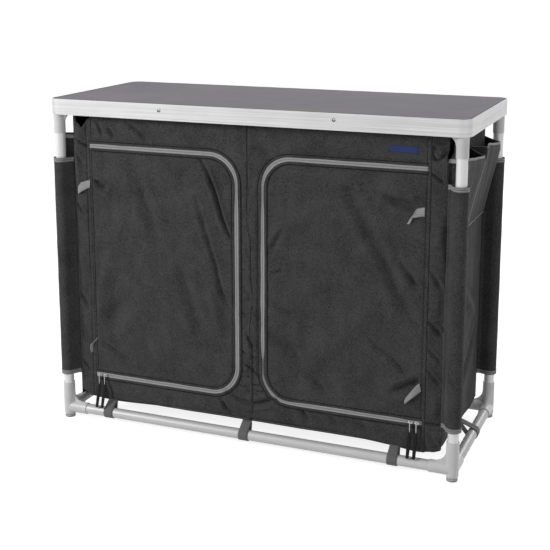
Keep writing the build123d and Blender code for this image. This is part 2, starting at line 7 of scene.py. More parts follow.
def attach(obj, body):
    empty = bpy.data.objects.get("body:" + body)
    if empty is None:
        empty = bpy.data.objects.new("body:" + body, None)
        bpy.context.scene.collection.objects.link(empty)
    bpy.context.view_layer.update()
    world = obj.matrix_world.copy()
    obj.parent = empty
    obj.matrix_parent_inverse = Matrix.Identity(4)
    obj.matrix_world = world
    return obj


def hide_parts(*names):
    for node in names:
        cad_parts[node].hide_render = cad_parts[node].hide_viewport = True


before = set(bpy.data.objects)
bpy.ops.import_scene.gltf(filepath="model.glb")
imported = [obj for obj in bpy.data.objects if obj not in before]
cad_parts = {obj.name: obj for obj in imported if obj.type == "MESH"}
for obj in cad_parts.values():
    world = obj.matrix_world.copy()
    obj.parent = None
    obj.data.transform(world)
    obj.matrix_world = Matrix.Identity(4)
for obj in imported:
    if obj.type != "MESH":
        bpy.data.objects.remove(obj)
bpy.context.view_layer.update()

# The CAD's own names and sizes, in mm: the legs' axes, the cabinet's walls, its foot and top, and
# the zips' paths
MM = 0.001
SIDES = {"left": -1, "right": 1}
ENDS = {"front": -1, "rear": 1}
CABINET = "frame_and_cabinet"
CHARCOAL = "charcoal_cloth"
LEG = (498.0, 198.0)
WALL_X, WALL_Y = 468.0, 186.0
LOW, HIGH = 57.0, 795.0
HINGE, INNER, ZIP_LOW, ZIP_HIGH, ZIP_ROUND = 422.0, 33.0, 119.0, 705.0, 70.0
ARC_X, ARC_LOW, ARC_HIGH = INNER + ZIP_ROUND, ZIP_LOW + ZIP_ROUND, ZIP_HIGH - ZIP_ROUND
CLOTH_THICK = 1.2

# Camera, at the photograph's angle
YAW, PITCH = 0.38253, 0.1968
CAMERA_AT = (1.01374, -2.54640, 1.14581)
SENSOR, LENS, SHIFT = 36, 74.112, -0.16


def added(name, data):
    obj = bpy.data.objects.new(name, data)
    bpy.context.scene.collection.objects.link(obj)
    return obj


def camera():
    level = cos(PITCH)
    ahead = Vector((-sin(YAW) * level, cos(YAW) * level, -sin(PITCH)))
    cam = added("camera", bpy.data.cameras.new("camera"))
    cam.location = CAMERA_AT
    cam.rotation_euler = ahead.to_track_quat("-Z", "Y").to_euler()
    cam.data.sensor_width = SENSOR
    cam.data.lens = LENS
    cam.data.shift_y = SHIFT
    cam.data.clip_end = 200
    bpy.context.scene.camera = cam


camera()


# Materials
class Paint:
    """A procedural material. Coordinates are the part's own, in metres."""

    def __init__(self, name, rough, metal=0.0, **sockets):
        self.m = bpy.data.materials.new(name)
        self.m.use_nodes = True
        self.t = self.m.node_tree
        self.b = self.t.nodes["Principled BSDF"]
        for key, value in dict(sockets, Roughness=rough, Metallic=metal).items():
            self.b.inputs[key.replace("_", " ")].default_value = value
        self.where = self.t.nodes.new("ShaderNodeTexCoord")

    def node(self, kind, **sockets):
        """A new node, with each named socket set to a value or linked to an output."""
        n = self.t.nodes.new("ShaderNode" + kind)
        for key, value in sockets.items():
            self.feed(n.inputs[key.replace("_", " ")], value)
        return n

    def feed(self, socket, value):
        if isinstance(value, bpy.types.NodeSocket):
            self.t.links.new(value, socket)
        else:
            socket.default_value = value

    def mapping(self, uv, **sockets):
        return self.node("Mapping", Vector=self.where.outputs["UV" if uv else "Object"], **sockets)

    def noise(self, scale, stretch=(1, 1, 1), detail=3.0, rough=0.6, uv=False):
        place = self.mapping(uv, Scale=[scale * s for s in stretch])
        n = self.node("TexNoise", Scale=1.0, Detail=detail, Roughness=rough, Vector=place.outputs[0])
        return n.outputs["Fac"]

    def waves(self, period, turn=0, bend=0.0):
        """Ribs across UV's first axis, turned by some degrees."""
        place = self.mapping(True, Rotation=(0, 0, radians(turn)))
        place.vector_type = "TEXTURE"
        scale = pi / (10 * period)
        w = self.node("TexWave", Scale=scale, Distortion=bend, Detail=1.0, Vector=place.outputs[0])
        w.bands_direction = "X"
        return w.outputs["Fac"]

    def math(self, kind, a, b):
        n = self.t.nodes.new("ShaderNodeMath")
        n.operation = kind
        self.feed(n.inputs[0], a)
        self.feed(n.inputs[1], b)
        return n.outputs[0]

    def mixed(self, *parts):
        """A weighted sum of factors, from (factor, weight) pairs."""
        total = None
        for factor, weight in parts:
            term = self.math("MULTIPLY", factor, weight)
            total = term if total is None else self.math("ADD", total, term)
        return total

    def colour(self, factor, *stops):
        """A base colour that runs between two (position, colour) stops."""
        ramp = self.node("ValToRGB", Fac=factor)
        for end, (at, rgb) in zip(ramp.color_ramp.elements, stops):
            end.position = at
            end.color = (*rgb, 1)
        self.feed(self.b.inputs["Base Color"], ramp.outputs[0])

    def rough(self, factor, low, high):
        r = self.node("MapRange", To_Min=low, To_Max=high, Value=factor)
        self.feed(self.b.inputs["Roughness"], r.outputs[0])

    def bump(self, factor, depth, strength):
        n = self.node("Bump", Strength=strength, Distance=depth, Height=factor)
        self.feed(self.b.inputs["Normal"], n.outputs[0])


def heather(name, dark, light):
    """A two-tone polyester: short flecks along both thread directions, on cloth that has creased a little."""
    p = Paint(name, 0.9, Sheen_Weight=0.04, Sheen_Roughness=0.5, Specular_IOR_Level=0.2)
    up = p.noise(1, (640, 640, 260), 2.0)
    along = p.noise(1, (260, 260, 640), 2.0)
    fleck = p.noise(760, detail=2.0, rough=0.7)
    broad = p.noise(16, detail=4.0)
    p.colour(p.mixed((up, 0.3), (along, 0.26), (fleck, 0.28), (broad, 0.16)), (0.42, dark), (0.58, light))
    crumple = p.noise(38, (1, 1, 0.7), 3.0, 0.5)
    small = p.noise(105, detail=2.0)
    p.bump(p.mixed((crumple, 0.6), (small, 0.16), (fleck, 0.12), (up, 0.12)), 0.003, 0.5)
    return p.m


def binding(name, dark, light):
    """A folded edging with a painted highlight along each of its two rims. UV's second axis runs across it, in
    metres.
    """
    p = Paint(name, 0.8, Sheen_Weight=0.1)
    # Painted highlights: lighter stripes along the two rims
    rims = p.waves(0.005, -90)
    rib = p.waves(0.0016, bend=0.4)
    fleck = p.noise(1500, detail=2.0, uv=True)
    p.colour(p.mixed((rims, 0.5), (rib, 0.2), (fleck, 0.3)), (0.2, dark), (0.75, light))
    p.bump(p.mixed((rib, 0.7), (fleck, 0.3)), 0.0003, 0.6)
    return p.m


def twill(name, dark, light, period=0.0022):
    """A woven tape. UV runs along and across it, in metres."""
    p = Paint(name, 0.8, Sheen_Weight=0.1)
    rib = p.waves(period, 52, 0.4)
    fleck = p.noise(1500, detail=2.0, uv=True)
    soft = p.noise(60, detail=2.0)
    p.colour(p.mixed((rib, 0.45), (fleck, 0.35), (soft, 0.2)), (0.25, dark), (0.75, light))
    p.bump(p.mixed((rib, 0.7), (fleck, 0.3)), 0.0003, 0.6)
    return p.m


def webbing(name, dark, light, period=0.0019):
    """A heavier weave, ribbed both ways."""
    p = Paint(name, 0.75, Sheen_Weight=0.1)
    rib = p.waves(period, bend=0.6)
    cross = p.waves(period * 1.4, 90, 0.6)
    fleck = p.noise(1300, detail=2.0, uv=True)
    p.colour(p.mixed((rib, 0.4), (cross, 0.25), (fleck, 0.35)), (0.25, dark), (0.75, light))
    p.bump(p.mixed((rib, 0.6), (cross, 0.4)), 0.0004, 0.7)
    return p.m


def brushed(name, dark, light, low, high, stretch, metal):
    """A drawn metal. stretch sets how fine its lines are along each axis."""
    p = Paint(name, 0.3, metal)
    lines = p.noise(1, stretch, 3.0, 0.7)
    cloud = p.noise(7, detail=3.0)
    fine = p.noise(1800, detail=2.0)
    p.colour(p.mixed((lines, 0.7), (cloud, 0.3)), (0.3, dark), (0.7, light))
    p.rough(p.mixed((lines, 0.5), (cloud, 0.3), (fine, 0.2)), low, high)
    p.bump(p.mixed((lines, 0.8), (fine, 0.2)), 0.00005, 0.35)
    return p.m


def moulded(name, dark, light, low, high, grain=1400, depth=0.00012, shine=0.5):
    """A plain solid colour with a fine grain."""
    p = Paint(name, 0.5, Specular_IOR_Level=shine)
    fine = p.noise(grain, detail=3.0)
    cloud = p.noise(14, detail=4.0)
    p.colour(p.mixed((fine, 0.35), (cloud, 0.65)), (0.3, dark), (0.7, light))
    p.rough(p.mixed((fine, 0.6), (cloud, 0.4)), low, high)
    p.bump(fine, depth, 0.5)
    return p.m


def laminate(name, dark, light):
    p = Paint(name, 0.45, Specular_IOR_Level=0.12)
    fine = p.noise(2200, detail=2.0, rough=0.7)
    speck = p.noise(600, detail=3.0)
    cloud = p.noise(4, detail=4.0)
    p.colour(p.mixed((fine, 0.25), (speck, 0.25), (cloud, 0.5)), (0.40, dark), (0.60, light))
    p.rough(p.mixed((fine, 0.5), (cloud, 0.5)), 0.62, 0.72)
    p.bump(fine, 0.00006, 0.4)
    return p.m


def grey(level, blue=None):
    return (level, level, blue or level)


# Each material: its name, its darker and lighter colours, then for metal and plastic the range of
# roughness, and what else its kind takes
CLOTH = heather("charcoal_heather", grey(0.022, 0.0225), grey(0.088, 0.089))
# Near-black: the cloth's inside faces, and painted shade in the zips' gaps and grooves
DARK_INSIDE_AND_SHADE = heather("near_black_inside_and_painted_shade", grey(0.004, 0.0045), grey(0.013, 0.0135))
CLOTH_DARK_INSIDE = [CLOTH, DARK_INSIDE_AND_SHADE]
TAPE = twill("grey_twill_tape", grey(0.29, 0.293), grey(0.51, 0.515))
COIL = twill("grey_coil", grey(0.19, 0.191), grey(0.36, 0.361), 0.0016)
EDGING_PAINTED_RIMS = binding("grey_binding_painted_rim_light", grey(0.11, 0.111), grey(0.35, 0.354))
CORD = twill("dark_cord", grey(0.055, 0.056), grey(0.12, 0.121), 0.0015)
PIPING = twill("grey_piping", grey(0.17, 0.172), grey(0.34, 0.343), 0.0015)
WEBBING = webbing("grey_webbing", grey(0.075, 0.077), grey(0.20, 0.203))
PALE_WEB = webbing("light_webbing", grey(0.22), grey(0.46))
DARK_THREAD = moulded("dark_thread", grey(0.004, 0.005), grey(0.012, 0.013), 0.6, 0.8, 2500, 0.0001, 0.15)
THREAD = moulded("grey_thread", grey(0.11, 0.115), grey(0.20, 0.21), 0.6, 0.8, 2500, 0.0001)
BAND = brushed("brushed_edge", grey(0.60, 0.605), grey(0.86, 0.865), 0.34, 0.50, (3, 3, 420), 0.3)
TUBE = brushed("satin_tube", grey(0.88), grey(0.98), 0.32, 0.44, (350, 350, 4), 0.15)
RAIL = brushed("satin_rail", grey(0.58), grey(0.72), 0.36, 0.48, (9, 350, 350), 0.15)
# The rails' satin aluminium, painted darker as the shade on the side rails, which face away from the key light
SHADED_SIDE_RAIL = brushed("satin_rail_shaded_side", grey(0.44), grey(0.60), 0.36, 0.48, (350, 9, 350), 0.15)
ZIP_METAL = brushed("zip_metal", grey(0.42), grey(0.66, 0.65), 0.24, 0.40, (400, 400, 400), 0.8)
PLASTIC = moulded("corner_plastic", grey(0.66), grey(0.82), 0.3, 0.42)
FOOT = moulded("foot_plastic", grey(0.50, 0.495), grey(0.62, 0.615), 0.5, 0.65, 900, 0.0002)
# The pulls' black rubber, and painted shade for the worktop's joint line, the feet's rings and the screws' cups
BLACK_RUBBER_AND_SHADE = moulded("pull_rubber_and_painted_shade", grey(0.004, 0.005), grey(0.010, 0.011), 0.5, 0.7, 1200, 0.0002, 0.15)
NAVY = webbing("navy_label", (0.008, 0.020, 0.115), (0.024, 0.052, 0.21), 0.0009)
BOARD = moulded("grey_board", grey(0.05, 0.052), grey(0.085, 0.09), 0.6, 0.8, 700, 0.0002)
LAMINATE = laminate("laminate", (0.208, 0.201, 0.236), (0.274, 0.254, 0.266))


def dress(mat, *names):
    """The material on nodes of the CAD that show as they are."""
    for name in names:
        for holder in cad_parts[name].material_slots:
            holder.material = mat


# Cloth relief. All lengths below are in mm until they reach a mesh.
def smooth(a, b, x):
    t = min(1.0, max(0.0, (x - a) / (b - a)))
    return t * t * (3 - 2 * t)


def lumps(x, y, z=0.0):
    return noise.noise(Vector((x, y, z)))


def along_line(points, x):
    """The height at x of straight runs between points."""
    for (x0, y0), (x1, y1) in zip(points, points[1:]):
        if x0 <= x <= x1:
            return y0 + (y1 - y0) * (x - x0) / (x1 - x0)
    return points[-1][1]


def curve_through(points):
    """A smooth line through the points, which are tuples of any length."""
    pts = [points[0]] + list(points) + [points[-1]]
    out = []
    for a, b, c, d in zip(pts, pts[1:], pts[2:], pts[3:]):
        for t in (0, 0.2, 0.4, 0.6, 0.8):
            out.append(tuple(
                0.5 * (2 * q + (r - p) * t + (2 * p - 5 * q + 4 * r - s) * t * t
                       + (3 * q - p - 3 * r + s) * t ** 3)
                for p, q, r, s in zip(a, b, c, d)))
    return out + [tuple(points[-1])]


def zip_offset(x, z):
    """How far a point of the front lies outside the middle of its door's zip; below 0 it is inside."""
    ax = abs(x)
    if ax < ARC_X and not ARC_LOW <= z <= ARC_HIGH:
        return hypot(ax - INNER - ZIP_ROUND, z - (ARC_LOW if z < ARC_LOW else ARC_HIGH)) - ZIP_ROUND
    return max(INNER - ax, ZIP_LOW - z, z - ZIP_HIGH)


# Folds of the front's cloth: half width, height (below 0 it is a crease), then its line
FOLDS = [
    (4.5, -3.4, (-123, 688), (-106, 661), (-88, 614), (-71, 556), (-49, 505)),
    (14, 3.0, (-106, 398), (-75, 247)), (5, -2.8, (-136, 598), (-110, 504), (-88, 441), (-75, 369), (-44, 320)),
    (13, -3.2, (-176, 407), (-127, 253)), (4, -2.4, (-401, 764), (-383, 732)),
    (4, -2.4, (-371, 753), (-353, 730)), (4.5, -3.4, (-321, 767), (-293, 750), (-261, 727)),
    (6, -5.0, (-416, 620), (-400, 612), (-381, 603)), (7, -3.4, (-412, 212), (-365, 184), (-318, 165)),
    (6, -4.8, (-61, 122), (-27, 107), (8, 100), (43, 113), (68, 121)),
    (5, -3.2, (-79, 103), (-61, 77), (-40, 64)), (3.5, -2.8, (-14, 202), (1, 192), (29, 173)),
    (3.2, -2.2, (-10, 276), (7, 246)), (2.8, -1.8, (-19, 182), (-3, 181)), (3, -2.0, (-29, 145), (-2, 142)),
    (2.8, -1.8, (11, 150), (27, 153)), (2.8, -1.8, (14, 134), (39, 137)),
    (12, -4.0, (244, 642), (277, 576), (301, 532), (349, 445), (373, 390), (412, 345)),
    (6, -3.2, (356, 495), (380, 471), (407, 432)), (6, -2.4, (82, 538), (53, 484)),
    (5, -2.0, (53, 428), (83, 441)), (6, -2.6, (6, 730), (60, 710)), (3.5, -3.6, (423, 698), (461, 675)),
    (5, -3.2, (427, 362), (462, 332)), (5, -3.0, (430, 480), (457, 441)),
    (4, -2.4, (271, 324), (311, 286), (351, 260), (390, 219)), (9, -5.5, (352, 183), (383, 199), (417, 219)),
    (8, -3.2, (49, 360), (117, 336)), (11, -3.6, (58, 277), (113, 248), (130, 223)),
    (9, -3.2, (159, 187), (192, 160)), (8, -3.2, (130, 111), (151, 78)), (8, -2.8, (200, 101), (225, 77)),
    (9, -3.0, (273, 93), (314, 68)), (4, -3.0, (423, 120), (467, 119)), (5, -2.8, (438, 92), (462, 64)),
    (9, -6.5, (331, 634), (355, 625), (403, 617)), (4, -2.4, (-466, 560), (-440, 530)),
    (4, -2.6, (-464, 690), (-444, 660)), (3, -3.6, (-463, 721), (-425, 699)),
    (5, -2.6, (-466, 330), (-438, 290)), (4, -2.4, (-464, 150), (-436, 120)),
    (16, 3.2, (-380, 420), (-410, 300)), (4, -2.2, (426, 300), (462, 270)), (4, -2.4, (427, 250), (461, 216)),
    (18, -3.0, (-330, 330), (-390, 250)), (14, -2.6, (-300, 640), (-240, 480)),
    (9, -2.6, (-260, 100), (-200, 70)), (3.5, -2.2, (-22, 232), (-6, 224)),
    (3, -3.4, (431, 753), (446, 739), (462, 734)), (2.6, -2.8, (436, 765), (451, 758), (465, 763)),
    (3.2, -2.0, (10, 330), (26, 318)), (3.2, -2.0, (-24, 330), (-8, 318)), (3, -1.8, (8, 222), (24, 214)),
]


def run_of(line):
    """A line's straight runs as start, end, length and distance from the line's start, and its whole length."""
    runs, far = [], 0.0
    for a, b in zip(line, line[1:]):
        size = hypot(b[0] - a[0], b[1] - a[1])
        runs.append((a, b, size, far))
        far += size
    return runs, far


# DEEPER scales the folds' listed heights, and FADE is how many of its half widths a fold reaches
DEEPER, FADE = 2.6, 4
CREASES = []
for half, height, *line in FOLDS:
    xs = [x for x, _ in line]
    CREASES.append((half, height * DEEPER, *run_of(line), min(xs) - FADE * half, max(xs) + FADE * half))

# Dents and bulges: place, reach along x and z, and height
DENTS = [
    (449, 741, 9, 9, 7.0), (-446, 744, 14, 12, 4.0), (-398, 606, 14, 9, -3.5), (-455, 660, 10, 30, 3.5),
    (366, 622, 20, 8, -3.5), (-452, 610, 9, 14, 3.0), (452, 560, 9, 30, 3.0), (450, 160, 10, 28, 3.5),
    (450, 400, 9, 26, 3.0), (-452, 420, 10, 34, 3.0),
]
TWIST = (447, 741)
SEAMS = (-432.2, -418.2, 419.8, 429.4)
CENTRE_SEAM = ((57, 5.8), (250, 5.2), (289, -1.4), (354, 7.1), (450, 2.5), (510, 2.3), (533, -6.2), (693, -4.7),
               (796, -4.9))


def crease(x, z, width, height, runs, whole):
    """A sharp fold along a line, with cloth raised a little beside it, softer at both ends."""
    near, place = 1e9, 0.0
    for (x0, z0), (x1, z1), size, far in runs:
        t = ((x - x0) * (x1 - x0) + (z - z0) * (z1 - z0)) / size ** 2
        t = min(1.0, max(0.0, t))
        gap = hypot(x - x0 - t * (x1 - x0), z - z0 - t * (z1 - z0))
        if gap < near:
            near, place = gap, (far + t * size) / whole
    off = near / width
    if off > FADE:
        return 0.0
    ends = 0.35 + 0.65 * smooth(0, 0.3, place) * smooth(1, 0.75, place)
    return height * ends * (exp(-off ** 1.6) - 0.38 * exp(-(off - 2.0) ** 2))


def twisted(x, z, edge):
    """The curled hollow round the twist in the top right corner."""
    dx, dz = x - TWIST[0], z - TWIST[1]
    far = hypot(dx, dz)
    if far >= 30:
        return 0.0
    ring = exp(-((far - 14 - 7 * lumps(x * 0.04, z * 0.04, 2.2)) / 3.2) ** 2)
    return 9.0 * ring * edge * (0.5 - 0.5 * sin(atan2(dz, dx) + 0.6))


def front_relief(x, z):
    """How far the front's cloth stands out from the cabinet's face."""
    ax, off = abs(x), zip_offset(x, z)
    calm = smooth(8, 40, abs(off) if ax < HINGE + 20 else 99)
    calm *= smooth(2, 20, abs(ax - HINGE - 3)) * smooth(WALL_X, WALL_X - 10, ax)
    calm *= smooth(LOW - 3, LOW + 20, z) * smooth(HIGH, HIGH - 25, z)
    out = 5.0 * lumps(x * 0.0065, z * 0.0042, 3.1) + 4.2 * lumps(x * 0.018, z * 0.011, 7.7)
    out += 2.0 * lumps(x * 0.045, z * 0.026, 1.3)
    out *= 0.06 + 0.94 * calm
    edge = smooth(WALL_X, WALL_X - 5, ax) * smooth(LOW - 3, LOW + 8, z)
    edge *= 0.12 + 0.88 * smooth(1, 15, abs(ax - HINGE))
    if 90 < ax < HINGE:
        edge *= 0.12 + 0.88 * smooth(4, 18, abs(z - ZIP_LOW))
    for width, height, runs, whole, low, high in CREASES:
        if low < x < high:
            out += crease(x, z, width, height, runs, whole) * edge
    for cx, cz, rx, rz, height in DENTS:
        far = ((x - cx) / rx) ** 2 + ((z - cz) / rz) ** 2
        if far < 6:
            out += 1.7 * height * exp(-far) * edge
    out -= twisted(x, z, edge)
    if ax < 26:
        off = x - along_line(CENTRE_SEAM, z)
        pucker = smooth(0, 7, abs(off)) * smooth(20, 12, ax)
        out += 4.2 * pucker * (lumps(off * 0.05, z * 0.06, 5.5) + 0.1)
        seam = 0.7 * smooth(5.5, 2.5, abs(off)) - 2.4 * exp(-(off / 1.0) ** 2)
        out += seam * smooth(LOW + 4, LOW + 24, z)
    if ax > 410:
        for at in SEAMS:
            out -= 1.7 * exp(-((x - at - 0.5 * lumps(z * 0.015, at)) / 1.1) ** 2)
        lip = (418.2, 432.2) if x < 0 else (419.8, 429.4)
        lift = 1.0 - 0.7 * smooth(4, 1, abs(ax - HINGE))
        out += lift * smooth(lip[0], lip[0] + 2, ax) * smooth(lip[1], lip[1] - 2, ax)
    return max(out, -8.0 - 4.0 * (1 - exp(min(0.0, out + 8.0) / 4.0)))


# How the cabinet's foot rises and sags along the front and along a side
HEM = curve_through([
    (-469, -17), (-468, -17), (-461, -10), (-453, -4), (-443, 1), (-372, 6), (-271, 2), (-169, -1.4), (-20, -2),
    (73, -4.5), (173, -3), (246, -1), (346, 6), (412, 12), (436, 8), (447, 7.2), (454, 5.1), (461, 1.5),
    (468, -4)])
SIDE_HEM = curve_through([
    (-186, -4.5), (-166, -6), (-138, -5), (-104, 0), (0, 6), (59, 8), (114, 14), (164, 12), (186, 2)])


def dropped(z, sag):
    """A height near the hem, moved down as the hem sags there."""
    return z - sag * smooth(LOW + 42, LOW, z)


# Mesh building
def piece(name, bm, mat, thick=0.0, nodes=(), body=CABINET):
    mesh = bpy.data.meshes.new(name)
    for face in bm.faces:
        face.smooth = True
    bm.to_mesh(mesh)
    bm.free()
    for one in mat if isinstance(mat, list) else [mat]:
        mesh.materials.append(one)
    obj = added(name, mesh)
    if thick:
        solid = obj.modifiers.new("thick", "SOLIDIFY")
        solid.thickness = thick * MM
        solid.offset = 0
        solid.use_even_offset = False
        solid.material_offset = 1
    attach(obj, body)
    if nodes:
        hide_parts(*nodes)
    return obj


def turns(n):
    return [2 * pi * i / n for i in range(n)]


def lengths_of(line):
    """How far along a line each of its points lies, in mm."""
    run = [0.0]
    for a, b in zip(line, line[1:]):
        run.append(run[-1] + (Vector(b) - Vector(a)).length)
    return run


def rounded_box(w, d, r, step, grow=0.0):
    """A rectangle's outline from its half sizes, with an arc at each corner in steps of some degrees."""
    line = []
    for cx, cy, start in ((w - r, d - r, 0), (-w + r, d - r, 90), (-w + r, -d + r, 180), (w - r, -d + r, 270)):
        for a in range(start, start + 91, step):
            a = radians(a)
            line.append((cx + (r + grow) * cos(a), cy + (r + grow) * sin(a)))
    return line


def split(points, step, closed=True):
    """The same line with no run longer than step."""
    out = []
    for a, b in zip(points, points[1:] + points[:1] if closed else points[1:]):
        n = max(1, ceil(hypot(b[0] - a[0], b[1] - a[1]) / step - 1e-6))
        out += [(a[0] + (b[0] - a[0]) * i / n, a[1] + (b[1] - a[1]) * i / n) for i in range(n)]
    return out if closed else out + [points[-1]]


def panel(loops, step, place, outward, cuts=()):
    """A flat cut with holes, gridded and set in space by place(u, v). cuts are more grid lines in u."""
    bm = bmesh.new()
    edges = []
    for loop in loops:
        corners = [bm.verts.new((u, v, 0)) for u, v in split(loop, step)]
        edges += [bm.edges.new(pair) for pair in zip(corners, corners[1:] + corners[:1])]
    bmesh.ops.triangle_fill(bm, use_beauty=True, use_dissolve=False, edges=edges)
    for axis, more in ((0, cuts), (1, ())):
        values = [v.co[axis] for v in bm.verts]
        low, high = min(values), max(values)
        for cut in [step * i for i in range(ceil(low / step), ceil(high / step))] + list(more):
            if low + 1e-3 < cut < high - 1e-3:
                at, way = [0.0, 0.0, 0.0], [0.0, 0.0, 0.0]
                at[axis], way[axis] = cut, 1.0
                geom = bm.verts[:] + bm.edges[:] + bm.faces[:]
                bmesh.ops.bisect_plane(bm, geom=geom, plane_co=at, plane_no=way, dist=1e-4)
    for v in bm.verts:
        v.co = Vector(place(v.co.x, v.co.y)) * MM
    bmesh.ops.recalc_face_normals(bm, faces=bm.faces[:])
    total = Vector()
    for f in bm.faces:
        total += f.normal * f.calc_area()
    if total.dot(Vector(outward)) < 0:
        bmesh.ops.reverse_faces(bm, faces=bm.faces[:])
    return bm


def grid(rows, closed=False, uv=None):
    """A mesh from rows of points in mm, each row joined to the next."""
    bm = bmesh.new()
    lay = bm.loops.layers.uv.new("UVMap") if uv else None
    verts = [[bm.verts.new(Vector(p) * MM) for p in row] for row in rows]
    n = len(rows[0])
    for i in range(len(rows) - 1):
        for j in range(n if closed else n - 1):
            k = (j + 1) % n
            face = bm.faces.new((verts[i][j], verts[i][k], verts[i + 1][k], verts[i + 1][j]))
            if uv:
                for corner, (a, b) in zip(face.loops, ((i, j), (i, j + 1), (i + 1, j + 1), (i + 1, j))):
                    corner[lay].uv = uv(a, b)
    bmesh.ops.recalc_face_normals(bm, faces=bm.faces[:])
    return bm


def capped(rows):
    """A closed body: the rows' rings joined, and both ends filled."""
    bm = grid(rows, closed=True)
    bmesh.ops.holes_fill(bm, edges=[e for e in bm.edges if e.is_boundary], sides=0)
    bmesh.ops.recalc_face_normals(bm, faces=bm.faces[:])
    return bm


def ribbon(name, points, across, width, thick, mat, nodes=(), body=CABINET):
    """A strap along a smooth line of points. Its width and the vector across it may change along it."""
    line = [Vector(p) for p in curve_through(points)]
    lengths = lengths_of(line)
    rows = []
    for p, far in zip(line, lengths):
        t = far / lengths[-1]
        side = Vector(across(t) if callable(across) else across).normalized()
        wide = width(t) if callable(width) else width
        rows.append([p + side * wide * s for s in (-0.5, -0.3, 0.0, 0.3, 0.5)])
    wide = width(0.5) if callable(width) else width
    bm = grid(rows, uv=lambda i, j: (lengths[i] * MM, (j - 2) * wide / 4 * MM))
    piece(name, bm, mat, thick, nodes, body)


DASH_FACES = ((4, 5, 7, 6), (0, 1, 5, 4), (2, 3, 7, 6), (0, 2, 6, 4), (1, 3, 7, 5), (0, 1, 3, 2))


def stitches(name, runs, outward, body=CABINET, mat=DARK_THREAD, length=2.6, pitch=4.2, width=0.55, rise=0.35):
    """Thread dashes along lines of points, lying on a surface that faces outward."""
    bm = bmesh.new()
    out = Vector(outward)
    for run in runs:
        line = [Vector(p) for p in run]
        spare = pitch / 2
        for a, b in zip(line, line[1:]):
            way = b - a
            size = way.length
            if size < 1e-6:
                continue
            way /= size
            side = way.cross(out).normalized() * width / 2
            while spare < size:
                mid = a + way * spare
                spare += pitch
                ends = [mid - way * length / 2, mid + way * length / 2]
                tops = [mid + way * d * length * 0.3 for d in (-1, 1)]
                points = [e + s - out * 0.3 for e in ends for s in (side, -side)]
                points += [e + s * 0.7 + out * rise for e in tops for s in (side, -side)]
                verts = [bm.verts.new(p * MM) for p in points]
                for face in DASH_FACES:
                    bm.faces.new([verts[i] for i in face])
            spare -= size
    bmesh.ops.recalc_face_normals(bm, faces=bm.faces[:])
    piece(name, bm, mat, body=body)


def tube(name, points, radius, mat):
    """A round cord-like edging along a line of points."""
    line = [Vector(p) for p in points]
    run = lengths_of(line)
    rows = []
    for k, p in enumerate(line):
        way = (line[min(k + 1, len(line) - 1)] - line[max(k - 1, 0)]).normalized()
        side = way.cross(Vector((0, 0, 1)) if abs(way.z) < 0.8 else Vector((0, 1, 0))).normalized()
        up = way.cross(side)
        rows.append([p + (side * cos(a) + up * sin(a)) * radius for a in turns(8)])
    bm = grid(rows, closed=True, uv=lambda i, j: (run[i] * MM, j * radius * 0.8 * MM))
    piece(name, bm, mat)


# The front's shape in space
def outline_path(offset, side, step=8.0):
    """The zip's path at an offset outwards, from the hinge's top round to its foot."""
    r = ZIP_ROUND + offset
    line = [(HINGE, ZIP_HIGH + offset)]
    for mid, start in ((ARC_HIGH, 90), (ARC_LOW, 180)):
        for i in range(15):
            a = radians(start + 90 * i / 14)
            line.append((ARC_X + r * cos(a), mid + r * sin(a)))
    line += [(HINGE, ZIP_LOW - offset)]
    return [(side * x, z) for x, z in split(line, step, closed=False)]


def corner_pull(z):
    """How far the right wall's front edge is drawn in above the wing."""
    return 4.5 * smooth(655, 690, z) * smooth(750, 736, z)


def on_face(x, z, lift=0.0):
    """A point on the front's cloth, lifted off it."""
    ax = abs(x)
    tuck = 9.0 * smooth(LOW + 9, LOW, z) ** 1.5 * smooth(WALL_X, WALL_X - 12, ax)
    tuck += 1.2 * smooth(WALL_X - 5, WALL_X, ax)
    across = x - corner_pull(z) * smooth(445, WALL_X, x)
    return (across, -WALL_Y + 0.6 - front_relief(x, z) - lift + tuck, dropped(z, along_line(HEM, x)))


def wall_outline():
    """The front's and the back's cut, with its lower corners rounded."""
    r = 3.0
    turn = [radians(a) for a in range(0, 91, 15)]
    line = [(WALL_X - r + r * sin(a), LOW + r - r * cos(a)) for a in turn]
    return line + [(WALL_X, HIGH), (-WALL_X, HIGH)] + [(-x, z) for x, z in reversed(line)]


# Front cloth, doors and zips. WELT, STITCH_AT and WELT_END are offsets from the zip's middle.
WELT, STITCH_AT, WELT_END = 6.0, 11.7, 15.2
MID_Z = 400
FACE = (0, -1, 0)
FACE_STEP = 5.0
SEAM_CUTS = [at + d for at in SEAMS for d in (-2.4, -1.2, -0.5, 0, 0.5, 1.2, 2.4)]
SEAM_CUTS += [i * 0.9 for i in range(-9, 7)]
SEAM_CUTS += [side * at for side in (-1, 1) for at in (453, 457, 461, 464, 466)]
GATHERED = [(-462, 790), (-408, 790), (-411, 781), (-425, 772), (-434, 763), (-441, 749), (-449, 757),
            (-458, 763)]


def front():
    holes = [outline_path(WELT_END, s) for s in (-1, 1)]
    bm = panel([wall_outline(), GATHERED] + holes, FACE_STEP, on_face, FACE, SEAM_CUTS)
    obj = piece("front_cloth", bm, CLOTH_DARK_INSIDE, CLOTH_THICK, ["cabinet_front"])


def shared_path(side, offset):
    """The zip's path at an offset, with the same number of points at every offset."""
    line = []
    for x, z in outline_path(0.0, side, 6.0):
        ax = abs(x)
        mid = ARC_HIGH if z > MID_Z else ARC_LOW
        wx, wz = -1.0, 0.0
        if ax >= ARC_X:
            wx, wz = 0.0, copysign(1.0, z - MID_Z)
        elif not ARC_LOW < z < ARC_HIGH:
            wx, wz = ax - INNER - ZIP_ROUND, z - mid
        size = hypot(wx, wz)
        line.append((side * (ax + offset * wx / size), z + offset * wz / size))
    return line


